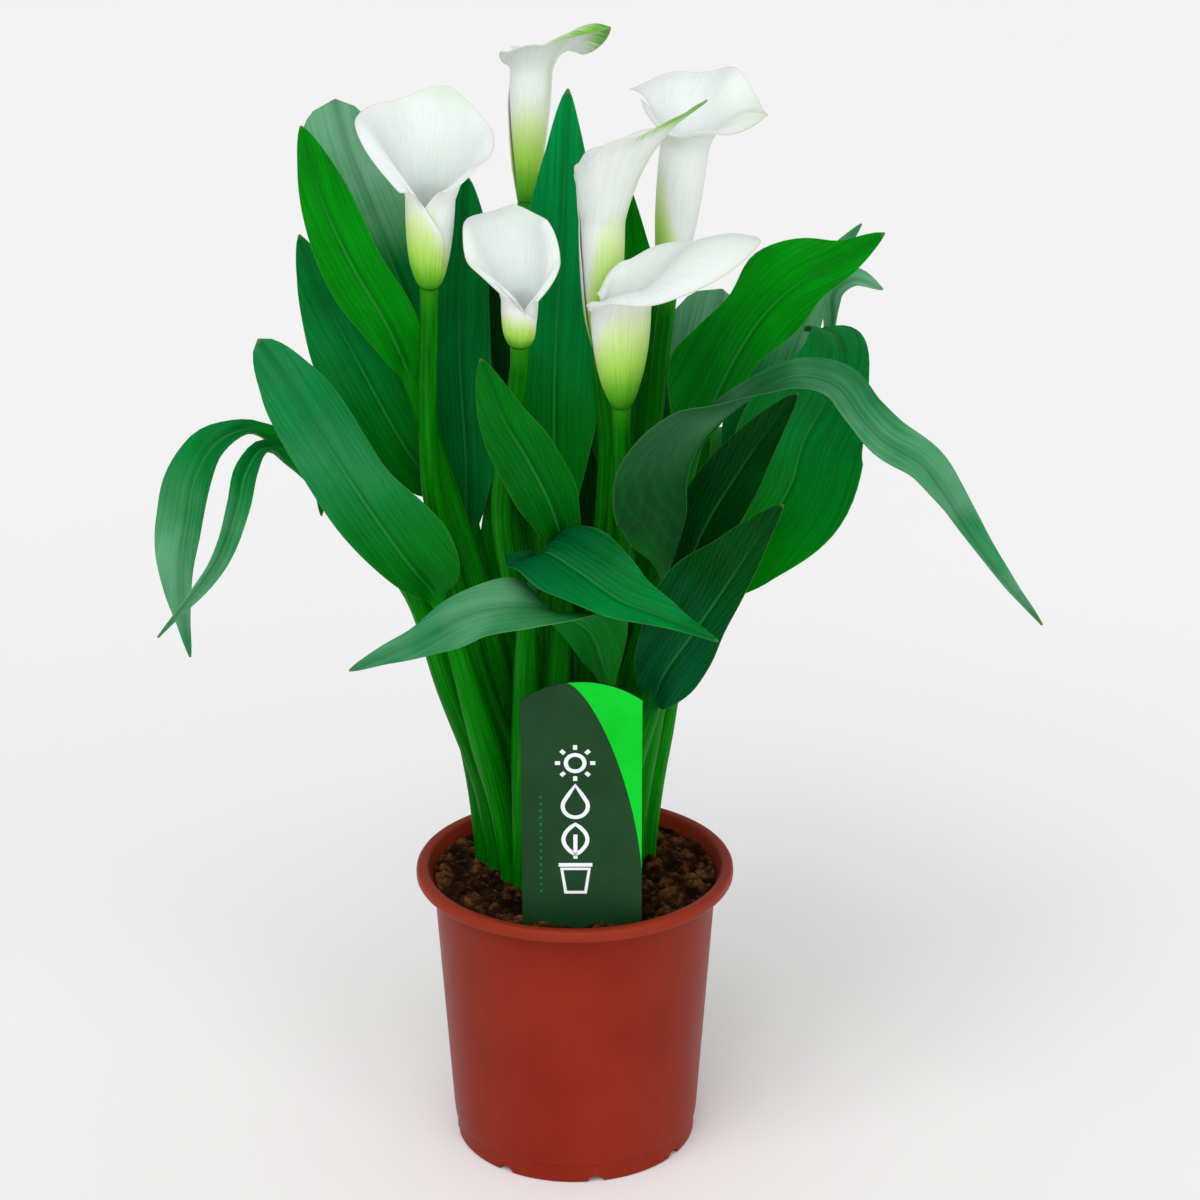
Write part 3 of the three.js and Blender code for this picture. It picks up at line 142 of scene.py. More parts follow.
LEAVES = [
    Leaf(
        "left_front_broad", site=(-1, -2), girth=6.2, rise=((-38, -23, 195),),
        blade=(
            (-52, -15, 239), (-65, -27, 263), (-80, -37, 291), (-96, -39, 319), (-108, -35, 338),
            (-118, -30, 352),
        ),
        left=(8, 11.5, 14, 14.5, 14, 13.5, 10.5), right=(17, 21.5, 20, 15.5, 15.5, 16, 12),
        blunt=0.6, face=((0.2, -1, 0.1), (0, -1, 0.1), (-0.2, -1, 0.2)), fold=(10,), tint="grass",
        outer="misty",
    ),
    Leaf(
        "far_left_drooping", site=(-3, 0), rise=((-48, 7, 200), (-61, 8, 240), (-85, 3, 273)),
        blade=(
            (-118, -4, 307), (-129, -8, 309), (-139, -13, 304), (-146, -17, 292), (-149, -20, 277),
            (-152, -23, 259), (-152, -25, 241), (-150, -26, 222),
        ),
        left=(6, 8, 9, 8, 6.5, 4.5, 2.5), right=(5, 11, 13, 13.5, 11, 7, 3),
        face=((0, -0.6, 1), (-0.4, -0.8, 1), (-0.5, -1, 0.5), (-0.3, -1, 0.2), (-0.2, -1, 0)),
        fold=(8,), curl=5, wave=(0.8, 1.5, 1), tint="mid", outer="dusty_sheen",
    ),
    Leaf(
        "far_left_narrow", site=(-2, -1), rise=((-49.5, -4.5, 200), (-62, -4, 240), (-84, -9, 272)),
        blade=(
            (-110, -12, 300), (-119, -18, 305), (-125, -26, 298), (-128, -33, 286),
            (-136, -38, 266), (-159, -46, 238),
        ),
        left=(3.5, 5, 5, 4.5, 4, 3, 1.5),
        face=((0, -0.6, 1), (0.3, -0.8, 1), (0.8, -0.8, 0.4), (0.6, -1, 0)), fold=(20,), curl=10,
        wave=(0.6, 1, 1), tint="mid", outer="dusty_sheen",
    ),
    Leaf(
        "left_behind", site=(-2, 0), girth=5.2, rise=((-36, 13, 200),),
        blade=((-53, 10, 273), (-68, 6, 301), (-84, 2, 335), (-96, 0, 361), (-104, -2, 385)),
        left=(11, 14.5, 17, 18, 16, 11.5, 6.5), right=(10, 14, 15, 14.5, 13.5, 11.5, 8),
        face=((0.3, -1, 0.1), (0.2, -1, 0.1), (-0.3, -1, 0.2)), wave=(1, 1.5, 2), tint="grass",
        outer="mid",
    ),
    Leaf(
        "upper_left_bright", site=(-1, -1),
        blade=(
            (-62, -4, 326), (-71, -8, 351), (-83, -12, 375), (-93, -14, 399), (-98, -14, 417),
            (-101, -12, 429),
        ),
        left=(7, 10, 12, 12, 10.5, 8, 5), right=(10, 12.5, 12.5, 12, 12.5, 12, 8.5),
        face=((0.2, -1, 0.1), (0, -1, 0.2), (-0.2, -1, 0.3)), curl=6, wave=(0.8, 1.2, 0),
        tint="bright",
    ),
    Leaf(
        "upper_left_back", site=(-3, 1), rise=((-44, 22.6, 215), (-56, 18, 285)),
        blade=((-62, 22, 342), (-71, 22, 369), (-80, 23, 394), (-87, 23, 414), (-91, 22, 432)),
        left=(9, 12, 14, 17, 19, 19, 16), right=(9, 12, 16, 19, 20, 19, 14), blunt=0.8,
        face=((0.1, -1, 0), (-0.1, -1, 0.1), (-0.4, -1, 0.3)), fold=(8,), wave=(1, 1.2, 2),
        tint="mid", outer="grey",
    ),
    Leaf(
        "upper_left_upright", site=(-3, 2),
        blade=((-57, 46, 315), (-66, 50, 351), (-72, 50, 384), (-74, 48, 404), (-73, 44, 421)),
        left=(8, 12, 14.5, 14.5, 12, 8), right=(11, 16, 19, 19, 16, 10),
        face=((0.1, -1, 0), (-0.1, -1, 0.1), (-0.2, -1, 0.2)), tint="grey",
    ),
    Leaf(
        "low_left_arching", site=(2, -3),
        blade=(
            (13, -33, 212), (11, -38, 226), (6, -46, 242), (-4, -57, 252), (-20, -64, 258),
            (-38, -66, 256), (-61, -70, 245), (-84, -72, 235),
        ),
        left=(9, 14, 17, 17, 15.5, 15.5, 14.5, 9.5, 4.5), right=(8, 12, 15, 16, 15, 12, 9, 6, 4),
        face=(
            (0, 1, 0.1), (-0.1, 0.7, 0.5), (-0.3, 0.1, 1), (-0.3, -0.4, 1), (-0.2, -0.6, 1),
            (-0.2, -0.7, 1), (-0.2, -0.8, 1),
        ),
        fold=(20, 15, 10, 10, 10, 10), curl=-6, wave=(0.8, 1, 0), tint="grass", outer="dusty_sheen",
    ),
    Leaf(
        "low_front", site=(0, -3),
        blade=(
            (-17, -38, 250), (-11, -50, 274), (1, -60, 271), (18, -72, 263), (33, -78, 259),
            (54, -85, 252),
        ),
        left=(8, 15, 19, 17, 14, 9, 4), right=(9, 16, 18, 14, 10, 6.5, 3),
        face=((0.4, -0.3, 1), (0, -0.7, 1), (0.2, -0.7, 1)), fold=(14,), curl=-8, wave=(1, 1, 2),
        tint="deep", outer="mid",
    ),
    Leaf(
        "middle_small", site=(1, -3), girth=5.2,
        blade=((-4, -31, 266), (-8, -42, 289), (-17, -49, 311), (-26, -51, 328), (-34, -46, 349)),
        left=(8, 10, 12.5, 12.5, 12, 9.5, 6), face=((0.4, -1, 0), (0.1, -1, 0.1), (-0.1, -1, 0.2)),
        fold=(14,), wave=(0.6, 1, 0), tint="leafy",
    ),
    Leaf(
        "centre_tall", site=(0, 0),
        blade=((-6, 14, 254), (-8, 24, 295), (-7, 28, 339), (-4, 26, 386), (-2, 22, 436)),
        left=(10, 13.5, 16.5, 18, 17, 13.5, 7.5), right=(12, 17, 20, 21, 19.5, 15.5, 8.5),
        face=((0, -1, 0), (0.1, -1, 0.1), (-0.3, -1, 0.1)), fold=(16,), curl=10, wave=(1.2, 2, 0),
        tint="grass", outer="fresh",
    ),
    Leaf(
        "centre_left", site=(-1, 0), girth=5.2, rise=((-22, 21, 190),),
        blade=((-42, 26, 249), (-44, 36, 287), (-46, 42, 327), (-45, 44, 363), (-42, 42, 398)),
        left=(10, 14, 15, 14.5, 13, 11, 7.5), right=(9, 13, 14, 13, 12, 11, 9),
        face=((0.2, -1, 0), (0.3, -1, 0.1), (0.4, -1, 0.1)), fold=(18,), wave=(1, 1.5, 1),
        tint="mid",
    ),
    Leaf(
        "centre_back", site=(-2, 2),
        blade=((-25, 44, 255), (-30, 54, 290), (-34, 60, 327), (-35, 61, 351), (-35, 59, 374)),
        left=(10, 15, 17, 16, 13, 8), face=((0, -1, 0), (-0.1, -1, 0.1), (-0.2, -1, 0.2)),
        fold=(14,), wave=(1, 1.5, 2), tint="dark",
    ),
    Leaf(
        "upper_right_bright", site=(2, -1), rise=((37.5, 4.5, 256),),
        blade=(
            (46, 4, 295), (54, 4, 316), (64, 2, 338), (74, 0, 354), (87, -6, 368), (102, -10, 377),
            (117, -15, 389),
        ),
        left=(15, 23, 19, 15, 19, 14.5, 6.5), right=(8, 9, 9, 13, 14, 10, 6),
        face=((-0.6, -1, 0.2), (-0.3, -1, 0.4), (0, -1, 0.6), (0.1, -1, 0.7)), fold=(10,), curl=-4,
        wave=(1.5, 1.5, 0), tint="grass", outer="bright",
    ),
    Leaf(
        "right_back_round", site=(1, 1), rise=((23, 31, 200),),
        blade=((39, 34, 283), (46, 42, 306), (53, 48, 327), (59, 50, 350)),
        left=(11, 14, 16, 17.5, 17.5, 16.5, 14), right=(12, 14, 15.5, 16.5, 17, 16.5, 14),
        blunt=0.8, face=((-0.3, -1, 0), (-0.3, -1, 0.2), (-0.2, -1, 0.4)), wave=(1, 1, 0),
        tint="deep", outer="grey",
    ),
    Leaf(
        "right_back_pointed", site=(2, 1), rise=((36, 30, 200), (50, 42, 238)),
        blade=((62, 52, 262), (78, 66, 292), (93, 84, 324), (103, 92, 347), (118, 98, 365)),
        left=(12, 17, 16, 12, 7, 4), right=(7, 9, 10, 9.5, 7, 4),
        face=((-0.3, -1, 0.2), (-0.3, -1, 0.4), (-0.3, -1, 0.5)), fold=(14,), curl=5,
        wave=(0.6, 1, 0), tint="mid", outer="dusty_sheen",
    ),
    Leaf(
        "right_back_small", site=(1, 2), rise=((32, 43, 200), (62, 64, 255)),
        blade=((106, 96, 318), (107, 104, 334), (116, 108, 339), (129, 110, 334)),
        left=(3.5, 5.5, 6, 5.5, 3.5), face=((-0.6, -1, 0.2), (-0.3, -0.8, 1), (0.1, -0.6, 1)),
        fold=(14,), curl=5, wave=(0.3, 1, 0), tint="grey",
    ),
    Leaf(
        "right_arching", site=(3, -2), rise=((31, -22, 225),),
        blade=(
            (32, -24, 251), (39, -28, 267), (43, -31, 283), (43, -34, 296), (45, -37, 307),
            (50, -41, 318), (60, -45, 329), (71, -48, 338), (84, -51, 344), (98, -53, 341),
            (107, -56, 330), (115, -59, 322), (129, -62, 314), (138, -65, 303), (146, -68, 291),
            (156, -72, 277), (175, -76, 255),
        ),
        left=(6, 8, 9, 9, 8, 8, 8, 9, 10.5, 11, 9, 8, 6.5, 5, 2.5),
        right=(18, 27, 32, 34, 30, 22, 14, 11, 9, 9, 9, 7, 4.5, 2.5, 2),
        face=(
            (-0.9, -0.3, 0.2), (-0.9, -0.3, 0.3), (-0.8, -0.4, 0.6), (-0.4, -0.4, 1),
            (-0.1, -0.4, 1), (0.3, -0.6, 0.9), (0.5, -0.8, 0.8), (0.5, -0.8, 0.8), (0.6, -0.9, 0.6),
            (0.6, -1, 0.5),
        ),
        fold=(60, 50, 40, 20, 10, 10, 10, 10, 10, 20),
        fold_right=(75, 75, 72, 55, 20, 5, 5, 8, 10, 20), curl=4, wave=(1, 2.5, 0), tint="dark",
        outer="dusty_sheen",
    ),
    Leaf(
        "right_broad", site=(3, 0), rise=((39, 8, 200),),
        blade=(
            (46, 4, 230), (68, 9, 254), (85, 13, 278), (91, 20, 296), (100, 28, 310),
            (107, 40, 323), (105, 58, 329), (94, 72, 327),
        ),
        left=(14, 20, 26, 27, 24, 18, 12), right=(15, 21, 27.5, 28, 22, 12, 8),
        face=((-0.6, -1, 0.1), (-0.4, -1, 0.1), (-0.2, -1, 0.4), (0, -0.4, 1), (0, 0.6, 1)),
        fold=(14,), curl=10, wave=(1.2, 1.5, 0), tint="bright", outer="mid",
    ),
    Leaf(
        "low_right", site=(3, -3),
        blade=(
            (31, -36, 206), (35, -46, 223), (45, -52, 241), (56, -54, 259), (67, -54, 277),
            (79, -52, 294),
        ),
        left=(10, 16.5, 21, 22, 19.5, 13, 7.5), right=(11, 15, 14, 10.5, 8.5, 7, 4),
        face=((-0.6, -1, 0.4), (-0.4, -1, 0.4), (-0.4, -1, 0.4)), fold=(10,), curl=-4,
        wave=(1, 1, 0), tint="deep", outer="dark",
    ),
    Leaf(
        "right_inner", site=(3, -1), rise=((31, -4, 190),),
        blade=((41, -6, 239), (51, -13, 271), (64, -18, 296), (75, -18, 313), (86, -14, 326)),
        left=(8, 12, 14, 13, 10, 6), face=((-0.8, -1, 0), (-0.7, -1, 0), (-0.6, -1, 0.2)),
        fold=(14,), curl=6, wave=(1, 1, 0), tint="dark",
    ),
    # A leaf that fills the middle of the clump, in the dark tint: painted shade.
    Leaf(
        "centre_dark", site=(0, 1), girth=5.2,
        blade=((0, 36, 206), (-3, 47, 241), (-6, 56, 282), (-8, 57, 324)),
        left=(8, 11, 13, 12, 9, 6), right=(12, 17, 18, 16, 12, 7),
        face=((0, -1, 0), (0, -1, 0.1), (-0.2, -1, 0.2)), curl=6, tint="dark",
    ),
    Leaf(
        "right_inner_back", site=(2, 0), girth=5, rise=((25.3, 15, 195),),
        blade=((30, 15, 222), (35, 17, 251), (43, 21, 279), (53, 23, 308)),
        left=(10, 16, 17, 16, 12, 7), face=((-0.2, -1, 0), (-0.3, -1, 0.1), (-0.4, -1, 0.2)),
        fold=(14,), curl=6, wave=(1, 1.5, 1), tint="grass",
    ),
    Leaf(
        "inner_left", site=(-2, 3), girth=5.2,
        blade=((-16, 50, 165), (-22, 54, 200), (-26, 58, 240), (-28, 63, 292)),
        left=(4, 6, 12, 14, 11, 6), right=(5, 7, 10, 12, 11, 7),
        face=((0, -1, 0), (0, -1, 0), (0, -1, 0.1)), curl=6, wave=(1, 1.5, 2), tint="bright",
    ),
    Leaf(
        "inner_right", site=(0, 2), girth=5.2,
        blade=((14.4, 44.4, 190), (20, 51, 240), (24, 58, 290), (25, 63, 340), (20, 67, 392)),
        left=(8, 10, 12, 14, 15, 12, 7), right=(11, 16, 18, 18, 16, 12, 7),
        face=((0, -1, 0), (-0.1, -1, 0), (-0.2, -1, 0.1)), curl=6, wave=(1, 1.5, 1), tint="bright",
    ),
    Leaf(
        "back_left_drooping", site=(-3, 3),
        blade=((-46, 60, 235), (-66, 84, 272), (-88, 106, 284), (-106, 124, 262), (-112, 132, 226)),
        left=(10, 16, 17.5, 15.5, 11, 6),
        face=((0.7, -0.7, 0.6), (0.3, -0.3, 1), (-0.5, 0.5, 1), (-0.7, 0.7, 0.4)), fold=(10,),
        curl=5, wave=(1.5, 1.5, 0), tint="mid",
    ),
    Leaf(
        "back_middle_broad", site=(-1, 2),
        blade=((-6, 58, 244), (-4, 76, 284), (0, 92, 322), (4, 108, 346), (8, 128, 352)),
        left=(12, 19, 20.5, 18, 13, 7), face=((0, -1, 0.3), (0.1, -0.9, 0.6), (0, -0.6, 1)), curl=7,
        wave=(1.5, 1.5, 1), tint="mid",
    ),
    Leaf(
        "back_right_drooping", site=(0, 3),
        blade=((28, 64, 228), (44, 90, 262), (60, 114, 272), (72, 132, 250), (76, 140, 214)),
        left=(10, 16, 17.5, 15.5, 11, 6),
        face=((-0.4, -0.8, 0.6), (-0.2, -0.3, 1), (0.4, 0.6, 1), (0.6, 0.8, 0.3)), fold=(10,),
        curl=5, wave=(1.5, 1.5, 2), tint="grass",
    ),
]

BLOOMS = [
    Bloom(
        "left_open", site=(0, -2), scape=((-36, -8, 200), (-46, -8, 241), (-55, -17, 290)),
        base=(-53.8, -20.5, 370), axis=(0.051, -0.289, 1), tip=(0.17, 0.99, 0), tube=38.5,
        mouth=9.2, limb=(12.7, 24.3, 30.1, 35.4, 34.3, 36.6, 12.4),
        flare=(52, 44, 41, 41, 45, 46, 65), overlap=45, seam=1, green=(0.62, 0.6, 1.05, 0.1),
        point=2, belly=0.62,
    ),
    Bloom(
        "top_middle", site=(-1, 1), scape=((-12, 34, 260), (-16, 45, 335)), base=(-18.8, 51.6, 385),
        axis=(0.037, 0.134, 1), tip=(0.88, -0.48, 0), tube=51.3, mouth=8.5,
        limb=(4.2, 13.4, 18, 31.6, 17.8, 12.9, 12.4), flare=(69, 72, 76, 93, 112, 66, 58), seam=1,
        green=(-0.3, 0.8, 0.8, 0.9), point=6, belly=1,
    ),
    Bloom(
        "middle_small", site=(1, -2), scape=((-28, -19, 276), (-24, -26, 315)),
        base=(-19.9, -29.4, 349.8), axis=(0.038, -0.312, 1), tip=(-0.19, 0.98, 0), tube=20, mouth=7,
        limb=(5.2, 17.8, 30, 29.9, 32.9, 24, 6), flare=(51, 28, 8, 37, 48, 50, 31), overlap=45,
        seam=1, green=(0.62, 0.7, 0.9, 0.05), point=2, belly=0.55,
    ),
    Bloom(
        "centre_pointed", site=(1, -1), scape=((12, -2, 272), (13, -4, 305)),
        base=(11.2, -5.8, 340.6), axis=(0.001, 0.01, 1), tip=(0.97, -0.26, 0), tube=50.3, mouth=8.5,
        limb=(19.5, 28, 41.6, 56, 39, 27.6, 21.9), flare=(0, 15, 33, 51, 41, 24, 7), seam=1,
        green=(-0.15, 0.5, 1.15, 1), belly=0.75,
    ),
    Bloom(
        "top_right", site=(1, 0), scape=((23, 24, 250), (32, 28, 305), (35, 30, 336)),
        base=(37.6, 30.3, 357.8), axis=(0.109, 0.096, 1), tip=(0.99, -0.11, 0), tube=53.5,
        mouth=9.3, limb=(23, 12.5, 18.5, 25.7, 35, 34.6, 29.5), flare=(50, 100, 98, 91, 37, 55, 78),
        seam=-1, green=(-0.85, 0.55, 0.85, 0.1), belly=0.75,
    ),
    Bloom(
        "front_right", site=(2, -2), scape=((20, -24, 262), (19, -30, 296)),
        base=(18.5, -30.5, 325.6), axis=(-0.006, -0.094, 1), tip=(0.96, -0.28, 0), tube=40,
        mouth=11.1, limb=(2, 14.7, 30.7, 55.5, 29, 15.8, 3.6), flare=(62, 85, 109, 92, 71, 52, 65),
        seam=-1, green=(-0.2, 0.8, 1.15, 0.05), point=3, belly=0.8,
    ),
]


def smooth(x):
    x = np.clip(x, 0, 1)
    return x * x * (3 - 2 * x)


def mix(a, b, t):
    return a + (b - a) * t


def unit(v):
    return v / np.linalg.norm(v, axis=-1, keepdims=True)


def spaced(values, x, ease=False):
    """The values at shares x of an evenly spaced list of numbers or points."""
    values = np.array(values, float)
    at = np.clip(x, 0, 1) * (len(values) - 1)
    i = np.minimum(at.astype(int), len(values) - 2)
    part = smooth(at - i) if ease else at - i
    if values.ndim > 1:
        part = part[..., None]
    return mix(values[i], values[i + 1], part)


class Path:
    """A centripetal Catmull-Rom curve through its points, walked by length."""

    STEPS = 48

    def __init__(self, points):
        p = np.array(points, float)
        p = np.vstack([2 * p[0] - p[1], p, 2 * p[-1] - p[-2]])
        t = np.arange(self.STEPS)[:, None] / self.STEPS
        line = []
        for a, b, c, d in zip(p, p[1:], p[2:], p[3:]):
            before, here, after = (np.linalg.norm(v) ** 0.5 for v in (b - a, c - b, d - c))
            start = ((b - a) / before - (c - a) / (before + here) + (c - b) / here) * here
            end = ((c - b) / here - (d - b) / (here + after) + (d - c) / after) * here
            cubic = 2 * (b - c) + start + end
            square = 3 * (c - b) - 2 * start - end
            line.append(b + start * t + square * t**2 + cubic * t**3)
        self.line = np.vstack(line + [p[-2:-1]])
        steps = np.linalg.norm(np.diff(self.line, axis=0), axis=1)
        self.walked = np.concatenate([[0], np.cumsum(steps)])
        self.length = self.walked[-1]

    def share_at(self, i):
        return self.walked[i * self.STEPS] / self.length

    def at(self, share):
        walked = np.clip(share, 0, 1) * self.length
        return np.stack([np.interp(walked, self.walked, c) for c in self.line.T], -1)

    def tangent(self, share):
        step = 1.5 / self.length
        return unit(self.at(np.minimum(1, share + step)) - self.at(np.maximum(0, share - step)))


def root(site, z):
    a, b = site
    y = BUNDLE_Y + PITCH * b * math.sin(math.radians(60))
    return np.array([BUNDLE_X + PITCH * (a + b / 2), y, z])


def stem_path(site, points):
    start = root(site, SOIL_TOP + STEM_CLEAR)
    bend = mix(start, np.array(points[0], float), np.array([BEND_ACROSS, BEND_ACROSS, BEND_UP]))
    return Path([start, bend, *points])


def up_stem(site, path, share):
    """Places and directions of a stem's sections, from its foot in the soil up."""
    foot = [root(site, SOIL_TOP + z) for z in FOOT_LEVELS]
    upright = np.tile([0.0, 0, 1], (len(foot), 1))
    return np.vstack([foot, path.at(share)]), np.vstack([upright, path.tangent(share)])


def swept(at, tangent, face, x, z):
    """Sections (x, z) set across a path, each with its upper side towards face."""
    normal = unit(face - tangent * np.sum(face * tangent, -1, keepdims=True))
    side = np.cross(tangent, normal)
    return at[:, None] + side[:, None] * x[..., None] + normal[:, None] * z[..., None]


def stacked(*parts):
    """Points, or their places on a surface, from arrays of any shapes that fit."""
    return np.stack(np.broadcast_arrays(*parts), -1)


def around(sides):
    return np.linspace(0, 2 * math.pi, sides, endpoint=False)


def turned(r, angle, z):
    return stacked(r * np.cos(angle), r * np.sin(angle), z)


def lofted(count, columns, flat=False):
    """The faces of a closed skin over count rings of columns points. Each end is one
    face or, where the rings are flat, a strip of faces between their two sides."""
    i, k = np.meshgrid(np.arange(count - 1), np.arange(columns), indexing="ij")
    a, b = i * columns + k, i * columns + (k + 1) % columns
    faces = np.stack([a, b, b + columns, a + columns], -1).reshape(-1, 4).tolist()
    last = (count - 1) * columns
    if not flat:
        return faces + [list(range(columns))[::-1], list(range(last, last + columns))]
    for start, way in ((0, 1), (last, -1)):
        for k in range(columns // 2 - 1):
            quad = [start + k, start + columns - 1 - k, start + columns - 2 - k, start + k + 1]
            faces.append(quad[::way])
    return faces


def new_mesh(name, points, faces, scale=1):
    mesh = bpy.data.meshes.new(name)
    mesh.from_pydata((np.asarray(points).reshape(-1, 3) * scale).tolist(), [], faces)
    return mesh


def placed(name, data):
    """A new object of the scene that shows a mesh, a light or a camera."""
    made = bpy.data.objects.new(name, data)
    bpy.context.scene.collection.objects.link(made)
    return made


def piece(name, points, faces, material, stands_for=(), grid=None, span=None, smooth_to=60):
    """A shown piece from points in millimetres. grid and span are each point's place on
    its own surface, as shares and in millimetres, for the materials."""
    mesh = new_mesh(name, points, faces, MM)
    for key, values in (("grid", grid), ("span", span)):
        if values is not None:
            layer = mesh.attributes.new(key, "FLOAT_VECTOR", "POINT")
            layer.data.foreach_set("vector", np.asarray(values, np.float32).ravel())
    mesh.shade_smooth()
    mesh.set_sharp_from_angle(angle=math.radians(smooth_to))
    mesh.materials.append(material)
    made = placed(name, mesh)
    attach(made, "root")
    if stands_for:
        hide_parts(*stands_for)
    return made


# Materials


class Shade:
    """A material's node tree, written as sums."""

    def __init__(self, name):
        self.material = bpy.data.materials.new(name)
        self.material.use_nodes = True
        self.tree = self.material.node_tree
        self.surface = self.tree.nodes["Principled BSDF"]

    def node(self, kind, settings=None, **inputs):
        made = self.tree.nodes.new("ShaderNode" + kind)
        for key, value in (settings or {}).items():
            setattr(made, key, value)
        for key, value in inputs.items():
            self.feed(made.inputs[key.replace("_", " ")], value)
        return made

    def feed(self, socket, value):
        if isinstance(value, bpy.types.NodeSocket):
            self.tree.links.new(value, socket)
        elif value is not None:
            socket.default_value = value

    def math(self, operation, a, b=0, c=0):
        made = self.node("Math", {"operation": operation})
        for socket, value in zip(made.inputs, (a, b, c)):
            self.feed(socket, value)
        return made.outputs[0]

    def times(self, a, b):
        return self.math("MULTIPLY", a, b)

    def plus(self, a, b):
        return self.math("ADD", a, b)

    def step(self, value, low, high, to_low=0, to_high=1):
        """A smooth step from to_low at low to to_high at high."""
        made = self.node("MapRange", {"interpolation_type": "SMOOTHSTEP"})
        for i, end in enumerate((value, low, high, to_low, to_high)):
            self.feed(made.inputs[i], end)
        return made.outputs[0]

    def blend(self, share, a, b):
        made = self.node("Mix", {"data_type": "RGBA"})
        self.feed(made.inputs[0], share)
        self.feed(made.inputs[6], a)
        self.feed(made.inputs[7], b)
        return made.outputs[2]

    def between(self, deep, light, value, low=0.3, high=0.7):
        """From one colour to another as a value goes from low to high."""
        return self.blend(self.step(value, low, high), colour(deep), colour(light))

    def over(self, body, code, share, most=1):
        """body with a colour laid over it, by a share of most."""
        return self.blend(self.times(share, most), body, colour(code))

    def field(self, name):
        """A point attribute, as a vector and its three numbers."""
        vector = self.node("Attribute", {"attribute_name": name}).outputs["Vector"]
        parts = self.node("SeparateXYZ", Vector=vector).outputs
        return vector, parts[0], parts[1], parts[2]

    def vector(self, x, y, z=0):
        made = self.node("CombineXYZ")
        for socket, value in zip(made.inputs, (x, y, z)):
            self.feed(socket, value)
        return made.outputs[0]

    def drawn_out(self, vector, share):
        """Places squeezed along Z, so that what is laid on them is drawn out."""
        return self.node("Mapping", Vector=vector, Scale=(1, 1, share)).outputs[0]

    def noise(self, vector, scale, detail=3, rough=0.5):
        made = self.node("TexNoise", Vector=vector, Scale=scale, Detail=detail, Roughness=rough)
        return made.outputs["Fac"]

    def spot(self):
        return self.node("TexCoord").outputs["Object"]

    def bump(self, height, distance, strength):
        made = self.node("Bump", Strength=strength, Distance=distance, Height=height)
        self.feed(self.surface.inputs["Normal"], made.outputs[0])

    def set(self, **inputs):
        for key, value in inputs.items():
            self.feed(self.surface.inputs[key.replace("_", " ")], value)

    def finish(self, body, roughness, specular, height, distance, strength):
        """The finished material. The relief's depth is in metres."""
        self.set(Base_Color=body, Roughness=roughness, Specular_IOR_Level=specular)
        self.bump(height, distance, strength)
        return self.material


def colour(code):
    """A screen colour such as "#2a7f31" in the renderer's own numbers."""
    parts = [int(code[i : i + 2], 16) / 255 for i in (1, 3, 5)]
    return [p / 12.92 if p <= 0.04045 else ((p + 0.055) / 1.055) ** 2.4 for p in parts] + [1]


# deep and fresh greens of a blade, and how much grey bloom and painted sheen lies on it
TINTS = {
    "bright": ("#006a04", "#00900a", 0),
    "mid": ("#005e1e", "#008038", 0),
    "grass": ("#005c08", "#007c16", 0),
    # the dusty, grey and misty tints are partly a grey bloom and partly painted sheen of the sky on
    # leaves turned up to it
    "dusty_sheen": ("#16703e", "#40905e", 0.3),
    "grey": ("#40885a", "#70b488", 0.4),
    "fresh": ("#007838", "#00984a", 0),
    "leafy": ("#005008", "#006e10", 0),
    "misty": ("#06682c", "#168248", 0.05),
    "deep": ("#003e18", "#006034", 0),
    # painted shade: the dark tint stands for the shade on leaves deep inside the clump and in its
    # hollows
    "dark": ("#002a04", "#004410", 0),
}


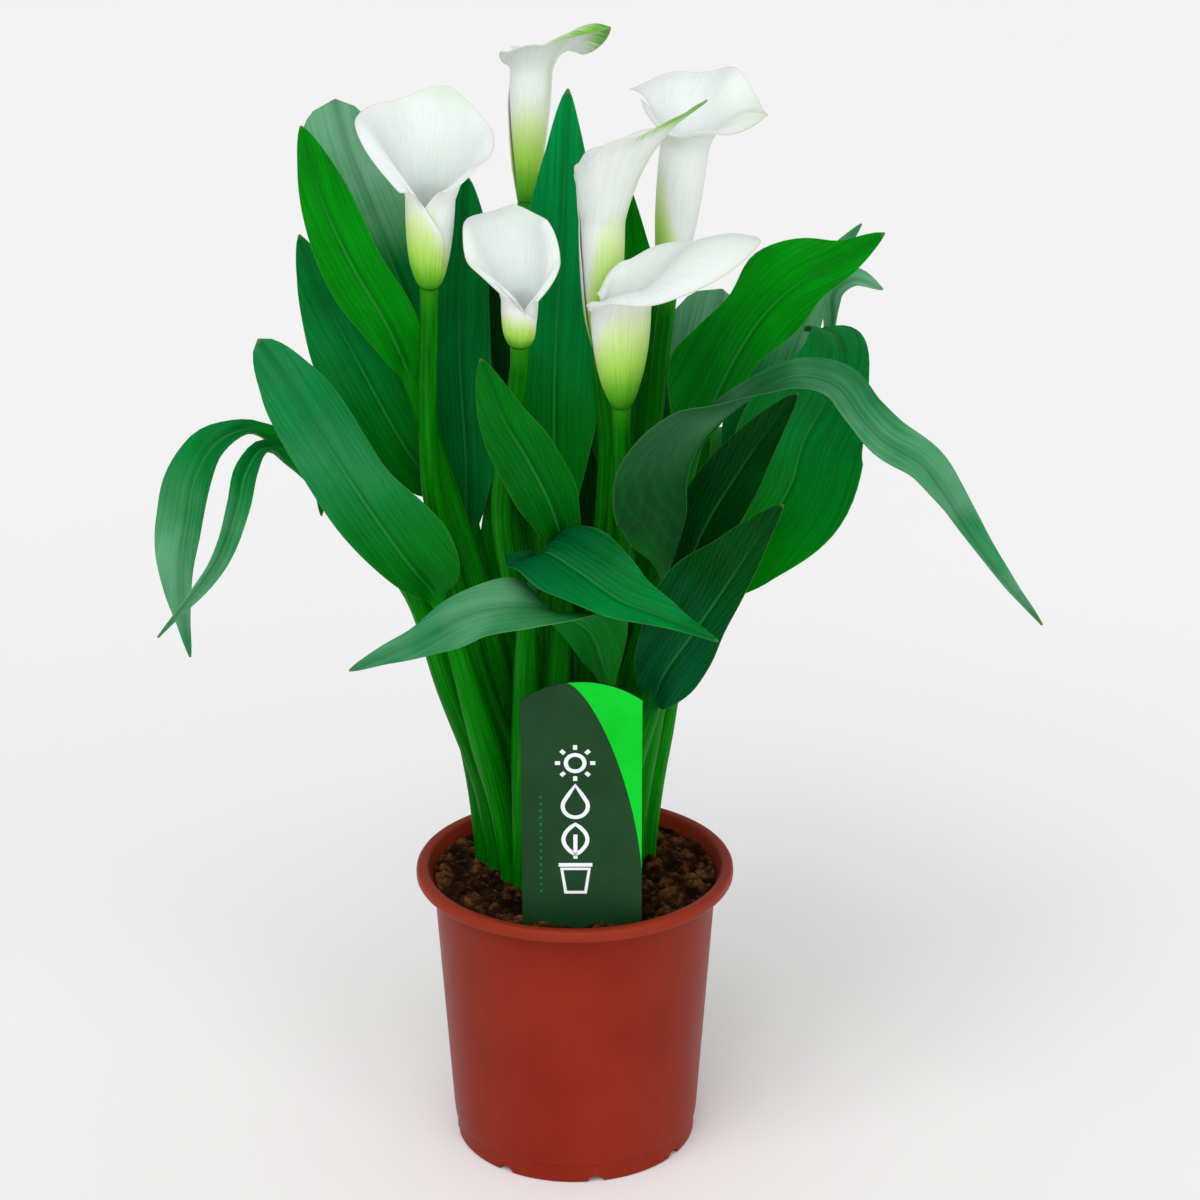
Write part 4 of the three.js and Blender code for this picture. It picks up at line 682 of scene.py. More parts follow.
def leaf_material(tint, outer):
    """A leaf whose blade runs from one tint at its base to another at its tip."""
    m = Shade("leaf_" + tint + "_" + outer)
    _, across, along, under = m.field("grid")
    span, side, length, _ = m.field("span")
    aside = m.math("ABSOLUTE", side)
    edge = m.math("ABSOLUTE", across)
    outwards = m.step(m.plus(along, m.times(m.noise(span, 0.02, 2), 0.3)), 0.35, 0.85)
    ends = zip(TINTS[tint][:2], TINTS[outer][:2])
    deep, fresh = (m.blend(outwards, colour(near), colour(far)) for near, far in ends)
    # The veins leave the midrib at a small angle and run on towards the tip.
    run = m.math("MULTIPLY_ADD", length, -0.2, aside)
    run = m.plus(run, m.times(m.noise(span, 0.03, 2), 5))
    streaks = m.noise(m.vector(m.times(run, 0.32), m.times(length, 0.008), under), 1, 4, 0.65)
    bands = m.noise(m.vector(m.times(run, 0.07), m.times(length, 0.012), side), 1, 2)
    clouds = m.noise(span, 0.022, 3, 0.55)
    veins = m.math("SINE", m.times(run, 2 * math.pi / 1.7))
    fine = m.noise(span, 1.1, 3, 0.6)
    on_blade = m.step(along, 0, 0.12)
    tone = m.plus(m.times(bands, 0.45), m.times(clouds, 0.55))
    body = m.blend(m.step(tone, 0.3, 0.7), deep, fresh)
    body = m.over(body, "#002c08", m.step(streaks, 0.52, 0.32), 0.09)
    body = m.over(body, "#1c9a4a", m.step(streaks, 0.55, 0.75), 0.06)
    body = m.over(body, "#1c9a48", m.step(veins, 0.2, 1), 0.05)
    # Grey bloom in patches, partly real and partly painted sheen of the sky, growing towards the
    # tip as the tints say.
    powder_and_sheen = m.step(outwards, 0, 1, TINTS[tint][2], TINTS[outer][2])
    dust_and_sheen = m.step(m.noise(span, 0.02), 0.4, 0.65)
    body = m.over(body, "#8ab89a", dust_and_sheen, m.times(on_blade, powder_and_sheen))
    body = m.over(body, "#3c8a5c", under, 0.06)
    # The midrib: a faint pale line in a darker groove.
    body = m.over(body, "#013a0c", m.step(aside, 2.8, 0.8), m.times(on_blade, 0.25))
    rib = m.times(m.step(aside, 0.7, 0.25), m.times(m.step(along, 1, 0.3), 0.25))
    body = m.over(body, "#3fae52", rib, on_blade)
    # The petiole: yellower, with long stripes.
    lines = m.vector(m.times(across, 3.2), m.times(length, 0.012), under)
    stripes = m.noise(lines, 2, 2, 0.6)
    stalk = m.between("#006404", "#0a8606", stripes)
    stalk = m.over(stalk, "#4fae2c", m.step(stripes, 0.62, 0.8), 0.2)
    # Darker far down the petiole towards the soil: painted shade low in the clump, under the
    # leaves.
    stalk = m.over(stalk, "#003a02", m.step(length, -60, -160), 0.35)
    body = m.blend(m.step(along, -0.14, 0.16), stalk, body)
    # A thin pale margin and a dry tip.
    margin = m.times(m.step(edge, 0.975, 0.995), m.step(along, 0.02, 0.1))
    body = m.over(body, "#6fb04e", margin, 0.14)
    body = m.over(body, "#7a7a3c", m.step(along, 0.985, 1), 0.55)
    relief = m.plus(m.times(veins, 0.1), m.plus(m.times(streaks, 0.5), m.times(fine, 0.4)))
    return m.finish(body, m.step(fine, 0.2, 0.8, 0.38, 0.5), 0.04, relief, 0.00016, 0.7)


def scape_material():
    m = Shade("scape_green")
    _, _, along, _ = m.field("grid")
    span, _, _, _ = m.field("span")
    stripes = m.noise(m.drawn_out(span, 0.03), 0.55, 4, 0.65)
    mottle = m.noise(span, 0.25, 4, 0.6)
    body = m.between("#005802", "#0a8604", stripes)
    body = m.over(body, "#3fa81e", m.step(mottle, 0.5, 0.8), 0.12)
    body = m.over(body, "#2c8c0c", m.step(along, 0.94, 1), 0.85)
    relief = m.plus(stripes, m.times(mottle, 0.2))
    return m.finish(body, m.step(mottle, 0.3, 0.7, 0.34, 0.44), 0.06, relief, 0.0002, 0.6)


FAR_GREEN = 0.4  # how high the green stands on the far side of a tube, as a share
# the tube's greens: where each sets in and is full, as shares of the green's height
GREENS = [
    (1.1, 0.7, "#d6ee9e"),
    (0.85, 0.42, "#a8dc46"),
    (0.5, 0.15, "#54b00e"),
    (0.2, 0, "#349808"),
]


def spathe_material(bloom):
    middle, half_width, reach, tip = bloom.green
    m = Shade("spathe_" + bloom.name)
    _, round_it, up, inside = m.field("grid")
    span, _, risen, _ = m.field("span")
    lines = m.noise(m.vector(m.times(round_it, 16), m.times(up, 0.9), inside), 3, 4, 0.7)
    clouds = m.noise(span, 0.03, 3)
    # The inner side is greyer than the outer: painted shade inside the funnel.
    inner = m.between("#dce3e2", "#e3e9e8", lines, 0.35, 0.7)
    outer = m.between("#edf3ec", "#f8fbfa", lines, 0.35, 0.7)
    white = m.blend(inside, outer, inner)
    white = m.over(white, "#e2ecd8", m.step(clouds, 0.4, 0.7), 0.25)
    # The green rises from the base, highest along one side of the rolled tube.
    height = m.times(risen, 1 / bloom.tube)
    roll = math.pi + math.radians(bloom.overlap)
    facing = m.math("COSINE", m.math("MULTIPLY_ADD", round_it, roll, -roll * middle))
    crest = m.step(facing, math.cos(roll * half_width), 1, FAR_GREEN * reach, reach)
    low = m.math("DIVIDE", height, crest)
    low = m.plus(low, m.times(m.math("SUBTRACT", lines, 0.5), 0.4))
    outside = m.math("SUBTRACT", 1, m.times(inside, 0.7))
    body = white
    for high, full, green in GREENS:
        body = m.over(body, green, m.step(low, high, full), m.times(outside, 0.88))
    body = m.over(body, "#2c8c0c", m.step(height, 0.08, 0), 0.9)
    # The green runs on along the midrib, in thin lines, into the drawn-out tip.
    beside = m.times(m.math("ABSOLUTE", round_it), -0.5)
    ahead = m.plus(m.plus(up, m.times(m.math("SUBTRACT", lines, 0.5), 0.25)), beside)
    midrib = m.times(m.step(beside, -0.05, -0.01), m.step(up, 0.3, 0.5))
    body = m.over(body, "#b8dc74", midrib, 0.4 * tip)
    body = m.over(body, "#84c838", m.step(ahead, 0.8, 0.93), tip)
    body = m.over(body, "#46a01a", m.step(ahead, 0.87, 0.98), tip)
    edge = m.plus(m.step(up, 0.988, 0.998), m.step(m.math("ABSOLUTE", round_it), 0.985, 0.997))
    body = m.over(body, "#c4b694", edge, 0.25)
    m.set(Subsurface_Weight=0.3, Subsurface_Radius=(1, 1, 0.85), Subsurface_Scale=0.002)
    relief = m.plus(lines, m.times(m.noise(span, 0.9, 4), 0.25))
    return m.finish(body, m.step(lines, 0.2, 0.8, 0.42, 0.52), 0.2, relief, 0.0004, 0.6)


def spadix_material():
    m = Shade("spadix_yellow")
    spot = m.spot()
    grains = m.node("TexVoronoi", Vector=spot, Scale=900).outputs["Distance"]
    body = m.between("#f7dc5a", "#cf9a1e", grains, 0.1, 0.6)
    body = m.over(body, "#fff0a0", m.noise(spot, 120), 0.3)
    relief = m.math("SUBTRACT", 1, grains)
    return m.finish(body, m.step(grains, 0, 0.6, 0.6, 0.8), 0.5, relief, 0.0003, 0.8)


def pot_material():
    m = Shade("pot_plastic")
    spot = m.spot()
    _, _, _, height = m.field("span")
    mottle = m.noise(spot, 24, 5, 0.6)
    drags = m.noise(m.drawn_out(spot, 0.12), 90, 3, 0.6)
    grit = m.noise(spot, 900, 3, 0.6)
    body = m.between("#80200d", "#8a2812", mottle, 0.3, 0.75)
    body = m.over(body, "#8e3424", m.step(drags, 0.5, 0.8), 0.25)
    # Lighter towards the rim: a painted highlight along the lip.
    body = m.over(body, "#983824", m.step(height, 112, 119), 0.4)
    body = m.over(body, "#6a2016", m.step(grit, 0.6, 0.85), 0.15)
    relief = m.plus(m.times(grit, 0.6), m.times(drags, 0.5))
    return m.finish(body, m.step(mottle, 0.3, 0.7, 0.36, 0.46), 0.09, relief, 0.00012, 0.6)


def soil_material():
    m = Shade("potting_soil")
    spot = m.spot()
    _, _, _, lump = m.field("span")
    crumbs = m.node("TexVoronoi", Vector=spot, Scale=420).outputs["Distance"]
    coarse = m.noise(spot, 110, 5, 0.65)
    fine = m.noise(spot, 800, 5, 0.7)
    body = m.between("#3c2210", "#8a5630", coarse, 0.4, 0.62)
    body = m.over(body, "#1e1108", m.step(fine, 0.45, 0.7), 0.6)
    # Darker where the crumbs lie low: painted shade in the hollows between them.
    body = m.over(body, "#0d0603", m.step(lump, 0.6, -1.4), 0.85)
    body = m.over(body, "#8a5a3c", m.step(m.noise(spot, 260, 2), 0.62, 0.72), 0.5)
    relief = m.plus(m.times(crumbs, -0.8), m.times(fine, 1.1))
    return m.finish(body, m.step(fine, 0.2, 0.8, 0.85, 1), 0.05, relief, 0.0018, 1)


def print_material(name, deep, light):
    m = Shade(name)
    spot = m.spot()
    grain = m.noise(spot, 1500, 3, 0.6)
    clouds = m.noise(spot, 30, 3)
    body = m.between(deep, light, clouds)
    body = m.over(body, deep, m.step(grain, 0.5, 0.8), 0.12)
    return m.finish(body, m.step(clouds, 0.3, 0.7, 0.36, 0.44), 0.1, grain, 0.00003, 0.5)


# Leaves

HALF = [0.06, 0.14, 0.27, 0.44, 0.62, 0.78, 0.9, 0.97, 1]
UPPER = np.array([-x for x in HALF[::-1]] + [0] + HALF)  # a section's points, from side to side


def half_width(values, blunt, t):
    """One half's width at shares t of the blade, smoothly through its values."""
    w = np.array([2 * PETIOLE_NECK - values[0], PETIOLE_NECK, *values, 0.0, 0.0])
    at = np.clip(t, 0, 1) * (len(values) + 1)
    i = np.minimum(at.astype(int), len(values))
    x = at - i
    a, b, c, d = (w[i + k] for k in range(4))
    square, cube = 2 * a - 5 * b + 4 * c - d, 3 * (b - c) + d - a
    between = b + x / 2 * (c - a + x * (square + x * cube))
    outermost = b * mix(1 - x, np.sqrt(1 - x**2), blunt)
    return np.where(i == len(values), outermost, between)


def fold_at(values, t):
    """How far a half is raised: by its list, or from the neck's fold to its one value."""
    if len(values) > 1:
        return np.interp(t, np.linspace(0, 1, len(values)), values)
    return mix(NECK_FOLD, values[0], smooth(t / OPENED))


def make_leaf(leaf, material):
    path = stem_path(leaf.site, leaf.rise + leaf.blade)
    base = path.share_at(2 + len(leaf.rise))
    stalk_length = path.length * base
    blade_length = path.length - stalk_length
    q = np.linspace(0.03, 1, max(12, int(stalk_length / PETIOLE_STEP)), endpoint=False)
    t = np.linspace(0, 1, max(24, int(blade_length / BLADE_STEP))) ** 0.97
    share = np.concatenate([base * q, mix(base, 1, t)])
    low = mix(PETIOLE_FOOT, leaf.girth, smooth(q * 2))
    petiole = np.where(q < 0.5, low, mix(leaf.girth, PETIOLE_NECK, q * 2 - 1))
    at, tangent = up_stem(leaf.site, path, share)
    foot = len(FOOT_LEVELS)
    walked = np.concatenate([at[:foot, 2] - at[foot - 1, 2], share * path.length]) - stalk_length
    radius = np.concatenate([np.full(foot, PETIOLE_FOOT), petiole, np.full(len(t), PETIOLE_NECK)])
    t = np.concatenate([np.zeros(foot + len(q)), t])
    x, z, s, face = leaf_section(leaf, t, radius, walked)
    place = swept(at, tangent, spaced(leaf.face, t), x, z)
    grid = stacked(s, (walked / blade_length)[:, None], face < 0)
    span = stacked(x, walked[:, None], (face < 0) * UNDERSIDE)
    name = "leaf_" + leaf.name
    faces = lofted(len(t), len(s), flat=True)
    return piece(name, place, faces, material, (name,), grid, span)


def leaf_section(leaf, t, radius, walked):
    """Each section's points, to the side and up, with their place across and their face."""
    t, radius, walked = t[:, None], radius[:, None], walked[:, None]
    s = np.concatenate([UPPER, UPPER[::-1]])
    face = np.concatenate([np.ones(len(UPPER)), -np.ones(len(UPPER))])
    q = np.abs(s)
    flat = smooth(t / MERGE)
    right, fold_right = leaf.right or leaf.left, leaf.fold_right or leaf.fold
    widths = [half_width(values, leaf.blunt, t) for values in (leaf.left, right)]
    width = np.where(s < 0, *widths)
    width = np.maximum(np.maximum(width, radius * (1 - smooth(t / NARROWED))), TIP)
    fold = np.radians(np.where(s < 0, fold_at(leaf.fold, t), fold_at(fold_right, t)))
    curl = math.radians(leaf.curl)
    slope = fold + curl * q
    out = (np.sin(slope) - np.sin(fold)) / curl
    up = (np.cos(fold) - np.cos(slope)) / curl
    height, count, phase = leaf.wave
    turn = 2 * math.pi * count * t + phase + (s < 0) * 2.2
    wave = height * np.sin(turn) * q**2 * (width / max(leaf.left + right))
    short, long = (walked / length for length in RIPPLE_LENGTHS)
    ripple = np.sin(short + phase + s * 1.7) * np.sin(long + 2 * phase + (s < 0))
    wave = wave + RIPPLE * ripple * q**5 * flat * np.minimum(1, width / 8)
    aside = q * width
    rib = mix(*RIB, t) * np.exp(-((aside / RIB_WIDTH) ** 2)) * (face < 0)
    groove = -mix(*GROOVE, t) * np.exp(-((aside / GROOVE_WIDTH) ** 2)) * (face > 0)
    skin = mix(*SKIN, q**2)
    lift = face * (skin + rib) + groove
    angle = np.radians(90 - 78 * s)
    half = np.sign(s)
    blade_x = half * out * width - np.sin(half * slope) * lift
    blade_z = up * width + wave + np.cos(slope) * lift
    x = mix(np.cos(angle) * radius, blade_x, flat)
    return x, mix(face * np.sin(angle) * radius, blade_z, flat), s, face


# Blooms


def bloom_axes(bloom):
    z = unit(np.array(bloom.axis, float))
    tip = np.array(bloom.tip, float)
    x = unit(tip - z * tip.dot(z))
    return np.array([x, np.cross(z, x), z])


def spathe_points(bloom, u, v):
    """Points of the outer face in the bloom's own frame."""
    parted = smooth((u - UNROLLS) / (1 - UNROLLS))
    angle = v * mix(math.pi + math.radians(bloom.overlap), math.pi * OPENING, parted)
    point = bloom.point * np.maximum(0, 1 - np.abs(v) / POINT_WIDTH) ** 2
    limb = spaced(bloom.limb, (v + 1) / 2, ease=True) + point
    flare = np.radians(spaced(bloom.flare, (v + 1) / 2, ease=True))
    s = u * (bloom.tube + limb)
    rise = np.clip(s / bloom.tube, 0, 1)
    r = mix(BASE_RADIUS, bloom.mouth, np.sin(math.pi / 2 * rise**bloom.belly))
    z = GAP + rise * (bloom.tube - GAP)
    past = np.maximum(0, s - bloom.tube)
    steps = 16  # along the limb, which flares out more and more
    for i in range(steps):
        share = (i + 0.5) / steps * past / limb
        turn = mix(math.radians(THROAT), flare, smooth(share * 0.9 + 0.05))
        r = r + np.sin(turn) * past / steps
        z = z + np.cos(turn) * past / steps
    r = r + bloom.seam * SPIRAL * angle / (2 * math.pi) * np.minimum(1, rise * 4) * (1 - u / 2)
    return turned(r, angle, z), angle, s


def doubled(outer, inner):
    """A sheet's outer side, and then its inner side from the far edge back."""
    return np.concatenate([outer, inner[:, ::-1]], 1)


def sheet_normal(points):
    return unit(np.cross(np.gradient(points, axis=1), np.gradient(points, axis=0)))


def make_spathe(bloom):
    u = np.linspace(0, 1, SPATHE_ROWS + 1)[:, None]
    v = np.linspace(-1, 1, SPATHE_COLUMNS + 1)[None]
    # The margin waves in and out, ripples a little and rolls outwards at the very rim.
    waves = np.sin(v * 11.0 + bloom.tube) + 0.7 * np.sin(v * 19.0 + bloom.mouth * 2) - 1.2
    waved = u * (1 + RIM_WAVE * waves * smooth((u - 0.6) / 0.4))
    outer, angle, s = spathe_points(bloom, waved, v)
    large, small = RIM_RIPPLES
    ripple = np.sin(v * 9.0 + bloom.tube) * large + np.sin(v * 23.0 + bloom.mouth) * small
    roll = smooth((u - 0.9) / 0.1) ** 2 * RIM_ROLL
    raised = ripple * smooth((u - 0.72) / 0.28) + roll
    outer = outer + sheet_normal(outer) * raised[..., None]
    thickness = mix(SPATHE_THICKNESS, SPATHE_RIM, smooth(u))
    thickness = thickness * (1 - 0.5 * smooth((np.abs(v) - 0.9) / 0.1))
    inner = outer - sheet_normal(outer) * thickness[..., None]
    skin = doubled(outer, inner) @ bloom_axes(bloom) + np.array(bloom.base, float)
    inside = doubled(0 * v, 0 * v + 1)
    grid = stacked(doubled(v, v), u, inside)
    round_it = angle * np.linalg.norm(outer[..., :2], axis=-1)
    span = stacked(doubled(round_it, round_it), doubled(s, s), INSIDE * inside)
    faces = lofted(len(u), skin.shape[1], flat=True)
    name = "spathe_" + bloom.name
    return piece(name, skin, faces, spathe_material(bloom), (name,), grid, span)


def make_scape(bloom, material):
    axis = unit(np.array(bloom.axis, float))
    base = np.array(bloom.base, float)
    path = stem_path(bloom.site, [*bloom.scape, base - axis * SCAPE_STRAIGHT, base])
    share = np.linspace(0.02, 1, SCAPE_ROWS)
    at, tangent = up_stem(bloom.site, path, share)
    share = np.concatenate([np.zeros(len(FOOT_LEVELS)), share])[:, None]
    angle = around(SCAPE_SIDES)
    neck = smooth((share - 0.975) / 0.025) * (BASE_RADIUS - SCAPE_NECK)
    ribs = 1 + 0.012 * np.sin(7 * angle) + 0.008 * np.sin(12 * angle + 1)
    radius = (mix(SCAPE_FOOT, SCAPE_NECK, share) + neck) * ribs
    x, y = radius * np.cos(angle), -radius * np.sin(angle)
    place = swept(at, tangent, np.array([0.0, 1, 0]), x, y)
    grid = stacked(angle / (2 * math.pi), share, 0)
    span = stacked(x, y, share * path.length)
    name = "scape_" + bloom.name
    faces = lofted(len(at), SCAPE_SIDES)
    return piece(name, place, faces, material, (name,), grid, span)


def make_spadix(bloom, material):
    length = bloom.tube * SPADIX_LENGTH
    t = np.linspace(0, 1, SPADIX_ROWS)[:, None]
    angle = around(SPADIX_SIDES)
    radius = np.where(t < 0.4, SPADIX_BASE, mix(SPADIX_BASE, SPADIX_TIP, (t - 0.4) / 0.6))
    radius = radius * np.sqrt(np.clip(1 - np.clip((t - 0.93) / 0.07, 0, 1) ** 2, 0.002, 1))
    rows_of_grains = length / GRAIN_SIZE
    grain = np.cos(t * rows_of_grains * 2 * math.pi) * np.cos(angle * GRAINS_AROUND)
    radius = np.maximum(radius - GRAIN_SUNK + GRAIN_HEIGHT * grain, 0.05)
    place = turned(radius, angle, GAP + t * (length - GAP))
    place = place @ bloom_axes(bloom) + np.array(bloom.base, float)
    name = "spadix_" + bloom.name
    faces = lofted(SPADIX_ROWS, SPADIX_SIDES)
    return piece(name, place, faces, material, (name,))


# Pot, soil and label


def wall_radius(z):
    return mix(HEEL_RADIUS, SHOULDER_RADIUS, (z - HEEL_HEIGHT) / (POT_HEIGHT - HEEL_HEIGHT))


def inner_radius(z, clear=0):
    return wall_radius(z) - WALL - clear


def rounded(profile, cuts=4):
    """A profile whose marked corners (r, z, radius) are rounded."""
    points = []
    for i, (r, z, turn) in enumerate(profile):
        here = np.array([r, z], float)
        if not turn or i in (0, len(profile) - 1):
            points.append(here)
            continue
        before = np.array(profile[i - 1][:2], float)
        after = np.array(profile[i + 1][:2], float)
        start = here + unit(before - here) * min(turn, np.linalg.norm(before - here) / 2)
        end = here + unit(after - here) * min(turn, np.linalg.norm(after - here) / 2)
        for k in range(cuts + 1):
            q = k / cuts
            points.append(mix(mix(start, here, q), mix(here, end, q), q))
    return np.array(points)


def make_pot(material):
    lip_foot = POT_HEIGHT - LIP_DEPTH
    floor_top = FLOOR_HEIGHT + FLOOR_THICKNESS
    # Radius, height and rounding: outside from the middle up to the rim, then back inside
    profile = rounded(
        [
            (CORE, 0, 0),
            (DISC_RADIUS, 0, 0.5),
            (DISC_RADIUS + 1, FLOOR_HEIGHT, 0.5),
            (FOOT_RADIUS - FOOT_WIDTH - 1, FLOOR_HEIGHT, 0.5),
            (FOOT_RADIUS - FOOT_WIDTH, 0, 0.4),
            (FOOT_RADIUS, 0, 1.2),
            (FOOT_RADIUS + 0.1, FOOT_HEIGHT, 0.5),
            (FOOT_RADIUS + 0.8, FOOT_HEIGHT + 0.5, 0.6),
            (HEEL_RADIUS, HEEL_HEIGHT, 4),
            (wall_radius(lip_foot), lip_foot, 0.8),
            (RIM_RADIUS, lip_foot + 0.2, 1.6),
            (RIM_RADIUS, POT_HEIGHT, 2.8),
            (RIM_RADIUS - LIP_WIDTH, POT_HEIGHT - 0.4, 1.2),
            (inner_radius(lip_foot - LIP_STEP), lip_foot - LIP_STEP, 1.5),
            (inner_radius(HEEL_HEIGHT), HEEL_HEIGHT, 3),
            (FOOT_RADIUS - 3, floor_top, 1),
            (DISC_RADIUS - 0.5, floor_top, 0.5),
            (DISC_RADIUS - 1.6, FLOOR_THICKNESS, 0.5),
            (CORE, FLOOR_THICKNESS, 0),
        ]
    )
    place = turned(profile[:, :1], around(POT_SIDES), profile[:, 1:])
    cutters = []
    for i in range(DRAIN_HOLES):
        a = 2 * math.pi * i / DRAIN_HOLES
        middle = (DRAIN_CIRCLE * math.cos(a), DRAIN_CIRCLE * math.sin(a), FLOOR_HEIGHT)
        cutters.append(rod(middle, (0, 0, 1), DRAIN_RADIUS, 12))
    for i in range(NOTCHES):
        a = math.radians(FIRST_NOTCH + 360 * i / NOTCHES)
        out = (math.cos(a), math.sin(a), 0)
        middle = (FOOT_RADIUS * out[0], FOOT_RADIUS * out[1], -0.6)
        cutters.append(rod(middle, out, NOTCH_RADIUS, 14))
    points, faces = carve(place, lofted(len(profile), POT_SIDES), cutters)
    return piece("pot", points, faces, material, ("pot",), None, points, 35)


def rod(middle, axis, radius, length, sides=28):
    """A closed round rod, as points and faces."""
    axis = unit(np.array(axis, float))
    across = unit(np.cross(axis, (0.3, 0.2, 1.0) if abs(axis[2]) < 0.9 else (1.0, 0, 0)))
    other = np.cross(axis, across)
    a = around(sides)[:, None]
    ring = radius * (np.cos(a) * across + np.sin(a) * other)
    points = np.vstack([ring - axis * length / 2, ring + axis * length / 2]) + np.array(middle)
    return points, lofted(2, sides)


def joined(parts):
    """Several bodies' points and faces as one."""
    points, faces = [], []
    for p, f in parts:
        faces += [[len(points) + k for k in face] for face in f]
        points += list(p)
    return points, faces


def carve(points, faces, cutters):
    """A closed body less the cutters."""
    blank = placed("blank", new_mesh("blank", points, faces))
    tool = placed("tool", new_mesh("tool", *joined(cutters)))
    cut = blank.modifiers.new("cut", "BOOLEAN")
    cut.object, cut.operation, cut.solver = tool, "DIFFERENCE", "EXACT"
    result = blank.evaluated_get(bpy.context.evaluated_depsgraph_get()).to_mesh()
    skin = ([tuple(v.co) for v in result.vertices], [list(p.vertices) for p in result.polygons])
    for made in (blank, tool):
        bpy.data.objects.remove(made)
    return skin


def soil_height(x, y):
    coarse = np.sin(x * 0.21 + 1.3) * np.cos(y * 0.19 - 0.4)
    fine = np.sin(x * 0.47 - y * 0.33) * np.cos(y * 0.52 + x * 0.11)
    return SOIL_TOP + 1.3 * (0.7 * coarse + 0.5 * fine)


def crumb(x, y):
    """Height of the loose crumbs at a point of the surface."""
    lumps = 0.0
    for size, height in CRUMBS:
        aside = noise.noise(Vector((x / 3, y / 3, size)))
        ahead = noise.noise(Vector((y / 3, x / 3, size)))
        place = Vector((x / size, y / size, size)) + Vector((aside, ahead, 0)) * 0.35
        near = noise.voronoi(place, distance_metric="DISTANCE")[0][0]
        lumps += height * max(0.0, 0.6 - near) * (0.65 + noise.noise(place * 0.7))
    return lumps - 1.6 + 0.7 * noise.noise(Vector((x / 1.6, y / 1.6, 5.0)))


def make_soil(material):
    floor_top = FLOOR_HEIGHT + FLOOR_THICKNESS + GAP
    angle = around(SOIL_SIDES)
    shelf = POT_HEIGHT - LIP_DEPTH - LIP_STEP
    edge_top = SOIL_TOP - SOIL_EDGE_DROP
    lip_share = (edge_top - shelf) / (POT_HEIGHT - 0.6 - shelf)
    edge = mix(inner_radius(shelf, GAP), RIM_RADIUS - LIP_WIDTH - GAP, lip_share)
    below = [
        (DISC_RADIUS - 1.6 - GAP, FLOOR_THICKNESS + GAP),
        (DISC_RADIUS - 0.5 - GAP, floor_top),
        (FOOT_RADIUS - 3 - GAP * 2, floor_top),
        (inner_radius(HEEL_HEIGHT, GAP) - GAP, HEEL_HEIGHT),
        (inner_radius(shelf, GAP), shelf),
        (edge, edge_top),
    ]
    rows = [turned(r, angle, z) for r, z in below]
    lumps = [angle * 0 for _ in rows]
    for share in np.linspace(1, 0.02, SOIL_ROWS):
        x, y = edge * share * np.cos(angle), edge * share * np.sin(angle)
        lumps.append(np.array([crumb(a, b) for a, b in zip(x, y)]))
        sunk = SOIL_SUNK if share == 1 else 0
        rows.append(stacked(x, y, soil_height(x, y) + lumps[-1] - sunk))
    points = np.array(rows)
    faces = lofted(len(rows), SOIL_SIDES)
    span = stacked(points[..., 0], points[..., 1], np.array(lumps))
    return piece("potting_soil", points, faces, material, ("potting_soil",), None, span)


def on_card(x, height, out=0.0):
    """A point of the label, from its middle line, at a height along it, in front of it."""
    lean = math.radians(LABEL_LEAN)
    rise = height - SOIL_TOP
    y = LABEL_Y - rise * math.sin(lean) - out * math.cos(lean)
    z = SOIL_TOP + rise * math.cos(lean) - out * math.sin(lean)
    return (LABEL_X + x, y, z)


def slab(outline, back, front):
    """A closed flat solid on the label between two depths, from an outline (x, height)."""
    n = len(outline)
    points = [on_card(x, h, d) for d in (back, front) for x, h in outline]
    faces = [list(range(n)), [2 * n - 1 - k for k in range(n)]]
    faces += [[(k + 1) % n, k, n + k, n + (k + 1) % n] for k in range(n)]
    return points, faces


def stroke(line, width, closed, back, front):
    """A closed flat solid that follows a line on the label."""
    p = np.array(line, float)
    ahead = np.roll(p, -1, 0) - p
    behind = p - np.roll(p, 1, 0)
    if not closed:
        ahead[-1], behind[0] = behind[-1], ahead[0]
    way = unit(unit(ahead) + unit(behind))
    across = np.stack([-way[:, 1], way[:, 0]], -1) * width / 2
    left, right = p + across, p - across
    n = len(p)
    points = [on_card(x, h, d) for d in (back, front) for row in (left, right) for x, h in row]
    faces = []
    for k in range(n if closed else n - 1):
        j = (k + 1) % n
        a, b, c, d = k, j, n + j, n + k
        e, f, g, h = (i + 2 * n for i in (a, b, c, d))
        faces += [[a, b, c, d], [h, g, f, e], [b, a, e, f], [d, c, g, h]]
    if not closed:
        faces += [[0, n, 3 * n, 2 * n], [2 * n - 1, n - 1, 3 * n - 1, 4 * n - 1]]
    return points, faces


def arc(x, y, radius, start, end, count):
    a = np.radians(np.linspace(start, end, count))
    return [(x + radius * math.cos(k), y + radius * math.sin(k)) for k in a]


CROWN_RADIUS = (LABEL_WIDTH**2 / 4 + LABEL_CROWN**2) / (2 * LABEL_CROWN)


def card_outline():
    half = LABEL_WIDTH / 2
    reach = math.degrees(math.asin(half / CROWN_RADIUS))
    crown = arc(0, LABEL_TOP - CROWN_RADIUS, CROWN_RADIUS, 90 - reach, 90 + reach, 33)
    return [(0, STAKE_TIP), (half, STAKE_TOP), *crown, (-half, STAKE_TOP)]


